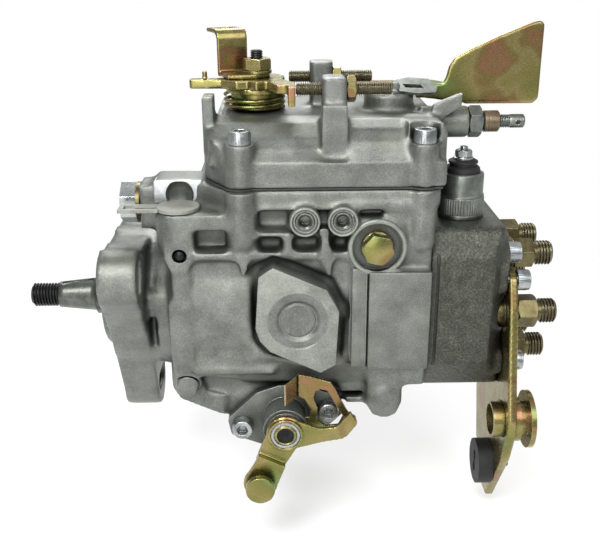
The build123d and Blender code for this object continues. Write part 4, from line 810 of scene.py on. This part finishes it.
# Castings: the solid with its pockets cut and ribs added, softened as cast metal is, then face milled.
# The cutters of one group stay clear of each other
def castPiece(node, body, materials, look):
    piece = plainObject(node + "_cast", weldedCopy(node))
    if look["carved"]:
        joinShapes(piece, look["fills"])
        voxelSkin(piece, look["voxel"])
        for group in look["carved"]:
            cutAway(piece, group)
    joinShapes(piece, look["ribs"])
    voxelSkin(piece, look["voxel"])
    soften(piece, look["rounds"], look["bore"])
    for group in look["milled"]:
        cutAway(piece, group)
    piece.data.materials.clear()
    dressPiece(piece, materials, body, look["sharp"])
    if look["planes"]:
        for face in piece.data.polygons:
            flat = any(abs(face.center.y / mm - y) < 0.03 for y in look["planes"])
            face.material_index = 1 if flat and face.normal.y < -0.99 else 0
    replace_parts(piece, node)
    print(node, "cast,", len(piece.data.polygons), "faces")


# Bores and hollows that keep their size while the skin is softened; x, y and z in mm
def housingBore(x, y, z):
    bore = hypot(y, z) < (17.0 if x < 29 else 29.5 if x < 49 else 35.0)
    hollow = 50 < x < 145 and abs(y) < 39.5 and -1 < z < 64
    timer = hypot(x - timerPlace[0], z - timerPlace[2]) < 14.5
    return bore or hollow or timer


def coverBore(x, y, z):
    return hypot(x - spindlePlace[0], y) < 7.5 or hypot(y - fullLoadPlace[1], z - fullLoadPlace[2]) < 4.6


# Housing: sizes in mm; planes are the Y of its milled faces
scoop = ballShape((36.5, -34.5, 60.5), (7.6, 7.2, 8.2))
housingCast = {
    "voxel": 1.26, "rounds": 3, "sharp": 34, "bore": housingBore, "planes": (-52.25, -50.2),
    "fills": (),
    # cut in turn: beside the plug bosses and the flange, round the shaped pad, the pockets between the ribs
    "carved": (
        (blockShape((71, -60, 38.2), (113.4, -44.4, 57.4)), blockShape((40.5, -60, -20.5), (68.6, -43.8, 33.6)),
         sideShape(((111.4, 29), (113.6, 29), (113.6, -18), (111.4, -18)), -60, -43.6)),
        (sideShape(((79.0, 36.6), (105.6, 24.8), (111.8, 12.0), (110.2, -18.0), (100.8, -24.0), (74.0, -12.2),
                    (68.6, -5.0), (66.2, 3.0), (68.2, 30.2)), -60, -43.0),),
        (blockShape((72, -60, 48.4), (86.5, -40.6, 57.4)), blockShape((72.2, -60, 38.4), (83, -41.0, 44.4)),
         blockShape((87.5, -60, 38.4), (99.5, -41.0, 44.4)), blockShape((105.2, -60, 38.4), (113, -41.0, 44.6)),
         blockShape((117, -60, 53.8), (128.5, -42, 56.8)), blockShape((43.5, -60, 38.0), (58.6, -38.8, 48.6)),
         blockShape((18.7, -60, -17), (22.4, -28.5, 1.5)),
         sideShape(((42, -27.5), (62, -31), (66, -38), (60, -42), (45, -38.4)), -60, -33.0),
         scoop),
    ),
    "ribs": (
        blockShape((71.0, -49, 45.4), (88.5, -43, 47.8)),
        sideShape(((61.0, 37), (70, 37), (67.4, 32.5), (66.4, 27), (64.6, 27), (63.6, 32.5)), -49.2, -44),
        sideShape(((99.0, 37), (108, 37), (105.4, 32.5), (104.4, 26.5), (102.6, 26.5), (101.6, 32.5)), -49.2, -44),
        sideShape(((98.4, 50), (104.6, 50), (103.6, 44), (105.5, 37.5), (99.5, 37.5), (100.4, 44)), -49.4, -43),
        blockShape((83.2, -49.0, 37), (87.3, -43, 47)),
        sideShape(((29.4, 43.6), (36, 41.8), (43.9, 44.6), (43.5, 34.9), (40.2, 28.8), (32.5, 28.0), (29.4, 35.1)),
                  -47.2, -44),
        blockShape((43, -48.6, 34.9), (72, -44, 38.1)),
        turned(((0, 0), (0, 6.2), (22, 7.4), (22, 0)), (14, -29.5, 9.0), axisX),
        sideShape(((40, -20.8), (79, -21.4), (79, -25), (40, -24.4)), -44.6, -36),
        turned(((40.6, 0), (40.6, 44), (42, 45.2), (69, 45.2), (69, 0)), (0, -2.6, 6.5), axisX, 160),
        blockShape((58.6, -49.0, 50), (71.4, -44, 57)),
        turned(((38.6, 0), (38.6, 3.6), (40.6, 6.4), (44, 7.1), (66, 7.1), (66, 0)), (65.0, -43.8, 0), axisZ),
        pinShape(0, 12.2, 5.4, (36.2, -28.8, -33.1), -axisY),
    ),
    "milled": (
        (blockShape((121.1, -60, -18.6), (122.0, -46.8, 29.6)), blockShape((113.5, -60, -19.2), (114.3, -46.8, 30.2)),
         blockShape((114.5, -60, 30.1), (151.0, -47.2, 30.8)), blockShape((114.5, -60, -19.9), (151.0, -47.2, -19.2))),
        (blockShape((60, -70, -25), (113, -52.25, 36)), blockShape((84, -70, 45), (118, -50.2, 60))),
        (pinShape(46.6, 60, 10.9, pivotPlace, -axisY), pinShape(44, 60, 3.4, (36.8, 0, 36.7), -axisY),
         turned(((37.6, 5.5), (60, 5.5), (60, 6.5), (37.6, 6.5), (37.6, 5.5)), (36.2, 0, -33.1), -axisY)),
    ),
}
castPiece("pump_housing", "pump", (dieCastAluminium, milledAluminium), housingCast)


# Machined and flat-faced places on the housing's near side
padPlates = (
    # outline in X and Z, outer face Y, rounded edge, material number
    (((78.6, 32.4), (102.9, 21.4), (108.5, 10.8), (107.0, -16.0), (100.1, -20.1), (76.9, -9.0), (72.2, -3.5),
      (70.2, 2.8), (72.0, 27.9)), -52.5, 0.35, 1),
    (((121.9, 29.0), (150.4, 28.6), (150.3, -19.6), (121.9, -19.3)), -50.7, 0.7, 0),
    (((114.4, 30.0), (121.0, 30.0), (121.0, -19.0), (114.4, -19.0)), -48.7, 0.4, 0),
    (((24.8, 56.8), (46.8, 56.8), (46.8, 66.8), (24.8, 66.8)), -30.7, 0.5, 2),
)
padThickness = 9.5
# profiles of distance from the shaft plane and radius
pivotRing = ((45, 13.5), (48.7, 13.3), (49.3, 12.7), (49.3, 11.6), (48.9, 11.1), (45, 11.0), (45, 13.5))
plugRing = ((44, 6.9), (50.3, 6.8), (50.8, 6.4), (50.8, 5.9), (50.1, 5.3), (49.6, 5.2), (49.6, 4.4), (44, 4.4),
            (44, 6.9))
padRings = ((51.0, 0), (51.0, 7.7), (50.6, 8.1), (50.6, 8.7), (52.0, 10.2), (52.15, 10.5), (52.2, 13.6), (52.5, 14.0),
            (56, 14.0), (56, 0))
padRingPlace = (89.7, 0, 6.2)


def makePads():
    bm = bmesh.new()
    for outline, outer, round, number in padPlates:
        plate = bmesh.new()
        sideShape(outline, outer + padThickness, outer)[0](plate)
        rim = [e for e in plate.edges if any(v.co.y < (outer + 0.01) * mm for v in e.verts)]
        bmesh.ops.bevel(plate, geom=rim, offset=round * mm, offset_type="OFFSET", segments=3, profile=0.5,
                        affect="EDGES", clamp_overlap=True, material=-1)
        for face in plate.faces:
            face.material_index = number
        pourInto(bm, plate)
    plain = plainObject("pads", bm)
    cutAway(plain, (turned(padRings, padRingPlace, -axisY, 72), scoop))
    bm = takeMesh(plain)
    plates = set(bm.faces)
    for place, profile in ((pivotPlace, pivotRing), *((place, plugRing) for place in plugPlaces)):
        addShape(bm, *turned(profile, place, -axisY, 56))
    for face in bm.faces:
        if face not in plates:
            face.material_index = 1
    surfaces = dieCastAluminium, milledAluminium, facedAluminium
    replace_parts(finishPiece("pump_housing_pads", bm, surfaces, "pump", 30), "pump_housing")


makePads()

# Governor cover
coverCast = {
    "voxel": 1.0, "rounds": 4, "sharp": 34, "bore": coverBore, "planes": (),
    "fills": (blockShape((50.2, -37.4, 75), (100.4, -16, 91.6)), blockShape((50.2, -30, 78), (62, 30, 91.6)),
              blockShape((112, -37.4, 75), (147, -22, 91.6)),
              sheetShape(((-44.6, 76), (-44.6, 78.3), (-35.6, 87.0), (-26, 92.3), (-16, 92.3), (-16, 76)),
                         0, 59.6, 100.4),
              sheetShape(((-44.6, 76), (-44.6, 78.3), (-39.0, 86), (-34, 90.6), (-26, 92.3), (-22, 92.3), (-22, 76)),
                         0, 112.2, 140.2)),
    "carved": (
        (sheetShape(((-60, 78.4), (-44.9, 78.4), (-35.6, 87.2), (-26, 92.4), (-14, 94.9), (-14, 106), (-60, 106)),
                    0, 44, 100.6),
         sheetShape(((-60, 78.4), (-44.9, 78.4), (-39, 86.2), (-34, 90.8), (-25, 94.6), (-24, 96), (-60, 96)),
                    0, 112.4, 138.5),
         blockShape((138.8, -8.4, 95.2), (157, -3.4, 110))),
        (sideShape(((40, 80), (48.6, 80), (51.0, 88), (56.5, 93.9), (56.5, 97), (54, 97), (54, 93), (40, 93)), -13, 60),
         sideShape(((138, 94.9), (138, 107), (166, 107), (165.2, 104.3), (152.2, 99.2), (151.4, 97), (151.0, 94.9)),
                   -24, -17)),
        (sheetShape(((45, -24), (60.5, -50), (45, -50)), 2, 79.4, 100),),
    ),
    "ribs": (
        pinShape(66.8, 86, 6.5, (65.0, -41.0, 0), axisZ),
        blockShape((48.0, -28, 79), (53.0, -15, 104)),
        turned(((93, 0), (93, 11.6), (101.6, 11.6), (102.0, 11.2), (102.0, 0)), (134.2, -2.0, 0), axisZ),
    ),
    "milled": ((pinShape(86, 60, 3.2, (65.0, -41.0, 0), axisZ),),),
}
castPiece("governor_cover", "pump", (dieCastAluminium,), coverCast)

# Distributor head, with a groove at its joint on both sides
headCast = {
    "voxel": 1.0, "rounds": 4, "sharp": 34, "bore": lambda x, y, z: hypot(y, z) < 18, "planes": (),
    "fills": (), "carved": (), "ribs": (),
    "milled": ((blockShape((153.4, -60, -36), (155.0, -42.4, 42)), blockShape((153.4, 42.4, -36), (155.0, 60, 42))),),
}
castPiece("distributor_head", "pump", (sandCastIron,), headCast)
print("castings made")


# Pressed sheet steel: cut edges drawn soft, bends rolled. Made of the shapes, or of the node's own solid
def pressedPiece(node, name, body, shapes, voxel=0.5, holes=()):
    if shapes:
        piece = plainObject(name, bmesh.new())
        joinShapes(piece, shapes)
    else:
        piece = plainObject(name, weldedCopy(node))
    voxelSkin(piece, voxel)
    for group in holes:
        cutAway(piece, group)
    soften(piece, 2, lambda x, y, z: False)
    piece.data.materials.clear()
    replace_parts(dressPiece(piece, (yellowZinc,), body, 50), node)


# Cable bracket: upright plate, foot, end flange and strap
bracketSheet = {
    "plate": ((148.5, 98.0), (156.5, 100.4), (160.1, 103.1), (162.3, 107.3), (163.4, 112.3), (166.1, 116.2),
              (173.0, 120.1), (186.8, 126.4), (201.8, 132.4), (205.6, 133.1), (207.4, 131.6), (207.6, 99.5),
              (206.8, 96.0), (204.7, 94.6), (171.2, 95.0)),
    "strip": ((118, 6), (118, 18), (122, 20), (158, 20), (162, 14), (162, 5), (121, 5)),
}
pressedPiece("cable_bracket", "cable_bracket_made", "pump", (
    sheetShape(bracketSheet["plate"], 1, 5.0, 7.0),
    sheetShape(((6.0, 94.3), (16, 94.3), (17, 94.8), (17, 96.3), (6.5, 96.3)), 0, 172, 205.4),
    sheetShape(((5.6, 97), (14, 97.5), (15, 100), (15, 129), (13, 131), (5.6, 131)), 0, 205.5, 207.5),
    sheetShape(bracketSheet["strip"], 2, 102.2, 104.2),
    blockShape((148, 5.0, 97.5), (162, 7.0, 104)), blockShape((124, 10.5, 94.2), (134, 18.5, 103))), 0.62)

# Lever tab: a folded upright turned to its stop, on a flat base
tabSheet = {
    "profile": ((-1.0, 109), (-1.0, 126.2), (-0.2, 128.6), (1.6, 130.0), (3.4, 130.3), (14, 130.3), (14, 128.3),
                (3.6, 128.3), (1.8, 127.4), (1.0, 125.8), (1.0, 109)),
    "base": ((54, 4.2), (59.0, -10), (66, -9.6), (72, -8), (78, -3), (78, 5), (72, 8), (68, 9.4)),
    "half": 7.5, "place": (60.4, 6.0, 0), "turn": radians(24), "slot": 4.0, "slotOut": 8, "bore": 3.9,
}
tabBuild = sheetShape(tabSheet["profile"], 0, -tabSheet["half"], tabSheet["half"])[0]
slotPlace = (tabSheet["place"][0] - tabSheet["slotOut"] * sin(tabSheet["turn"]),
             tabSheet["place"][1] + tabSheet["slotOut"] * cos(tabSheet["turn"]), 0)
pressedPiece("lever_tab", "lever_tab_made", "throttle", (
    (tabBuild, tabSheet["place"], axisZ, tabSheet["turn"]), sheetShape(tabSheet["base"], 2, 109, 111)), 0.5, (
    (pinShape(125, 132, tabSheet["slot"], slotPlace, axisZ),
     pinShape(107, 113, tabSheet["bore"], spindlePlace, axisZ)),))
for node, body, voxel in (("throttle_lever", "throttle", 0.5), ("cold_start_lever", "cold_start", 0.5),
                          ("spring_cup", "throttle", 0.5), ("rear_bracket", "pump", 0.8)):
    pressedPiece(node, node + "_made", body, (), voxel)

# Cold-start hub: riveted collar round the shaft with a bright washer face
hubCollar = ((56.5, 4.05), (57.8, 4.05), (58.1, 4.5), (57.7, 5.2), (57.3, 5.4), (57.3, 6.9), (57.9, 7.3), (57.7, 8.2),
             (56.5, 8.5), (56.5, 4.05))
hubWasher = ((56.6, 5.5), (57.5, 5.6), (57.6, 5.9), (57.6, 6.5), (57.5, 6.8), (56.6, 6.9), (56.6, 5.5))
for name, profile, finish in (("cold_start_hub_collar", hubCollar, yellowZinc),
                              ("cold_start_hub_washer", hubWasher, brightZinc)):
    bm = bmesh.new()
    addShape(bm, *turned(profile, timerPlace, -axisY, 56))
    finishPiece(name, bm, (finish,), "cold_start", 30)

# Drum inside the throttle spring
springDrum = ((95.0, 3.6), (95.0, 12.0), (95.5, 12.4), (105.5, 12.4), (106.0, 12.0), (106.0, 3.6), (95.0, 3.6))
bm = bmesh.new()
addShape(bm, *turned(springDrum, spindlePlace, axisZ, 64))
finishPiece("spring_drum", bm, (yellowZinc,), "throttle", 30)

# Slotted plate on the cover's round boss
slotPlate = {
    "outline": ((-10.4, -0.5), (-7.4, -5.8), (0.0, -7.4), (9.6, -6.0), (11.0, -2.0), (7.5, 5.6), (-2.0, 6.2),
                (-8.4, 3.6)),
    "slot": ((-4.2, -3.2), (4.4, -3.2), (3.2, 0.2), (-5.4, 0.2)),
    "thickness": 1.4, "place": (145.4, -3.5, 104.2), "facing": Vector((0.05, -0.42, 1)).normalized(),
}
plate = plainObject("slot_plate", bmesh.new())
joinShapes(plate, (sheetShape(slotPlate["outline"], 2, 0.0, slotPlate["thickness"]),))
cutAway(plate, (sheetShape(slotPlate["slot"], 2, -2, 4),))
bm = bmesh.new()
addShape(bm, lambda part: part.from_mesh(plate.data), slotPlate["place"], slotPlate["facing"])
bpy.data.objects.remove(plate)
finishPiece("cover_slot_plate", bm, (dullZinc,), "pump", 30)
print("pressed pieces made")


# Carried-over solids: welded and smooth up to their sharp edges, each with its finish
def dressSolid(node, material, sharp=32):
    piece = nodes[node]
    piece.data.materials.clear()
    piece.data.materials.append(material)
    piece.data.polygons.foreach_set("use_smooth", [True] * len(piece.data.polygons))
    weld = piece.modifiers.new("weld", "WELD")
    weld.merge_threshold = 0.002 * mm
    split = piece.modifiers.new("split", "EDGE_SPLIT")
    split.split_angle = radians(sharp)
    split.use_edge_sharp = False


# Nodes that are not named here are turned steel
finishes = {
    "pump_housing": dieCastAluminium, "governor_cover": dieCastAluminium, "cold_start_cover": dieCastAluminium,
    "timer_end_cover": dieCastAluminium, "distributor_head": sandCastIron, "cover_gasket": gasketPaper,
    "inlet_cap": greyNylon, "rubber_buffer": mouldedRubber, "shaft_seal": mouldedRubber,
    "solenoid_insulator": mouldedRubber, "rear_bracket": yellowZinc, "bracket_bush": yellowZinc,
    "cable_bracket": yellowZinc, "cold_start_lever": yellowZinc, "cold_start_stop_plate": yellowZinc,
    "throttle_lever": yellowZinc, "lever_tab": yellowZinc, "spring_cup": yellowZinc,
    "throttle_spring": yellowZinc, "spindle_washers": yellowZinc, "spindle_nut": yellowZinc,
    "lock_nuts": yellowZinc, "stop_screws": yellowZinc, "pivot_bolts": yellowZinc, "inlet_bolt": brightZinc,
    "inlet_washer": brassyZinc, "head_centre_plug": brassyZinc, "delivery_valve_holders": brassyZinc,
    "full_load_screw": brassyZinc, "cover_screws": brightZinc, "head_screws": brightZinc,
    "timer_cover_screws": brightZinc, "solenoid_body": brightZinc, "solenoid_terminal": brightZinc,
    "throttle_spindle": blackOxide, "ball_plug": blackOxide, "cold_start_shaft": blackOxide, "side_plugs": turnedSteel,
}
for nodeName in nodes:
    dressSolid(nodeName, finishes.get(nodeName, turnedSteel))
print("solids dressed")


# Floor and surroundings: both look white straight on and half white in gloss, but light the pump as grey
floorSettings = {
    "half": 1500.0, "centre": (80.0, 0, -112.0), "colour": "#f4f4f4", "glossy": 0.35,
    # mm round the pump where the floor keeps its shadow, and how white the floor is under the pump
    "shadeCentre": (80.0, 50.0, -112.0), "shadeFrom": 50.0, "shadeTo": 420.0, "shadeWhite": 0.3,
}
skySettings = {"strength": 0.62, "colours": ((0.36, "#5c5c5c"), (0.5, "#6b6b6b"), (0.6, "#a6a6a6"), (0.78, "#ffffff"))}


# How white the backdrop is for the kind of ray that meets it
def backdropShare(tree, glossy):
    seen = addNode(tree, "ShaderNodeLightPath")
    straight = addNode(tree, "ShaderNodeMath", {"operation": "MAXIMUM"}, {
        0: seen.outputs["Is Camera Ray"], 1: seen.outputs["Is Transmission Ray"]})
    shiny = addNode(tree, "ShaderNodeMath", {"operation": "MULTIPLY"}, {0: seen.outputs["Is Glossy Ray"], 1: glossy})
    return addNode(tree, "ShaderNodeMath", {"operation": "MAXIMUM"}, {0: straight.outputs[0], 1: shiny.outputs[0]})


def makeFloor():
    bm = bmesh.new()
    bmesh.ops.create_grid(bm, x_segments=1, y_segments=1, size=floorSettings["half"] * mm)
    bmesh.ops.translate(bm, verts=bm.verts, vec=Vector(floorSettings["centre"]) * mm)
    floor = plainObject("floor", bm)
    material = bpy.data.materials.new("painted studio floor")
    material.use_nodes = True
    tree = material.node_tree
    tree.nodes.clear()
    paint = addNode(tree, "ShaderNodeBsdfDiffuse", inputs={"Color": hexColour(floorSettings["colour"])})
    glow = addNode(tree, "ShaderNodeEmission", inputs={"Color": (1, 1, 1, 1), "Strength": 1.0})
    place = addNode(tree, "ShaderNodeTexCoord").outputs["Object"]
    middle = [c * mm for c in floorSettings["shadeCentre"]]
    reach = addNode(tree, "ShaderNodeVectorMath", {"operation": "DISTANCE"}, {0: place, 1: middle})
    share = addNode(tree, "ShaderNodeMapRange", {"interpolation_type": "SMOOTHSTEP"}, {
        "Value": reach.outputs["Value"], "From Min": floorSettings["shadeFrom"] * mm,
        "From Max": floorSettings["shadeTo"] * mm, "To Min": floorSettings["shadeWhite"], "To Max": 1.0})
    seen = backdropShare(tree, floorSettings["glossy"])
    both = addNode(tree, "ShaderNodeMath", {"operation": "MULTIPLY"}, {0: share.outputs["Result"], 1: seen.outputs[0]})
    mixed = addNode(tree, "ShaderNodeMixShader", inputs={0: both.outputs[0], 1: paint.outputs[0], 2: glow.outputs[0]})
    addNode(tree, "ShaderNodeOutputMaterial", inputs={"Surface": mixed.outputs[0]})
    floor.data.materials.append(material)


def makeWorld():
    world = bpy.data.worlds.new("studio")
    world.use_nodes = True
    tree = world.node_tree
    tree.nodes.clear()
    seen = backdropShare(tree, floorSettings["glossy"])
    way = addNode(tree, "ShaderNodeTexCoord").outputs["Generated"]
    height = addNode(tree, "ShaderNodeSeparateXYZ", inputs={0: way}).outputs["Z"]
    rise = addNode(tree, "ShaderNodeMapRange", inputs={"Value": height, "From Min": -1.0, "From Max": 1.0})
    sky = addNode(tree, "ShaderNodeValToRGB", inputs={"Fac": rise.outputs["Result"]})
    fillRamp(sky, skySettings["colours"])
    lit = addNode(tree, "ShaderNodeBackground", inputs={
        "Color": sky.outputs["Color"], "Strength": skySettings["strength"]})
    white = addNode(tree, "ShaderNodeBackground", inputs={"Color": (1, 1, 1, 1), "Strength": 1.0})
    pick = addNode(tree, "ShaderNodeMixShader", inputs={0: seen.outputs[0], 1: lit.outputs[0], 2: white.outputs[0]})
    addNode(tree, "ShaderNodeOutputWorld", inputs={"Surface": pick.outputs[0]})
    bpy.context.scene.world = world


makeFloor()
makeWorld()
print("floor and surroundings made")
bpy.context.scene.view_settings.view_transform = "Standard"
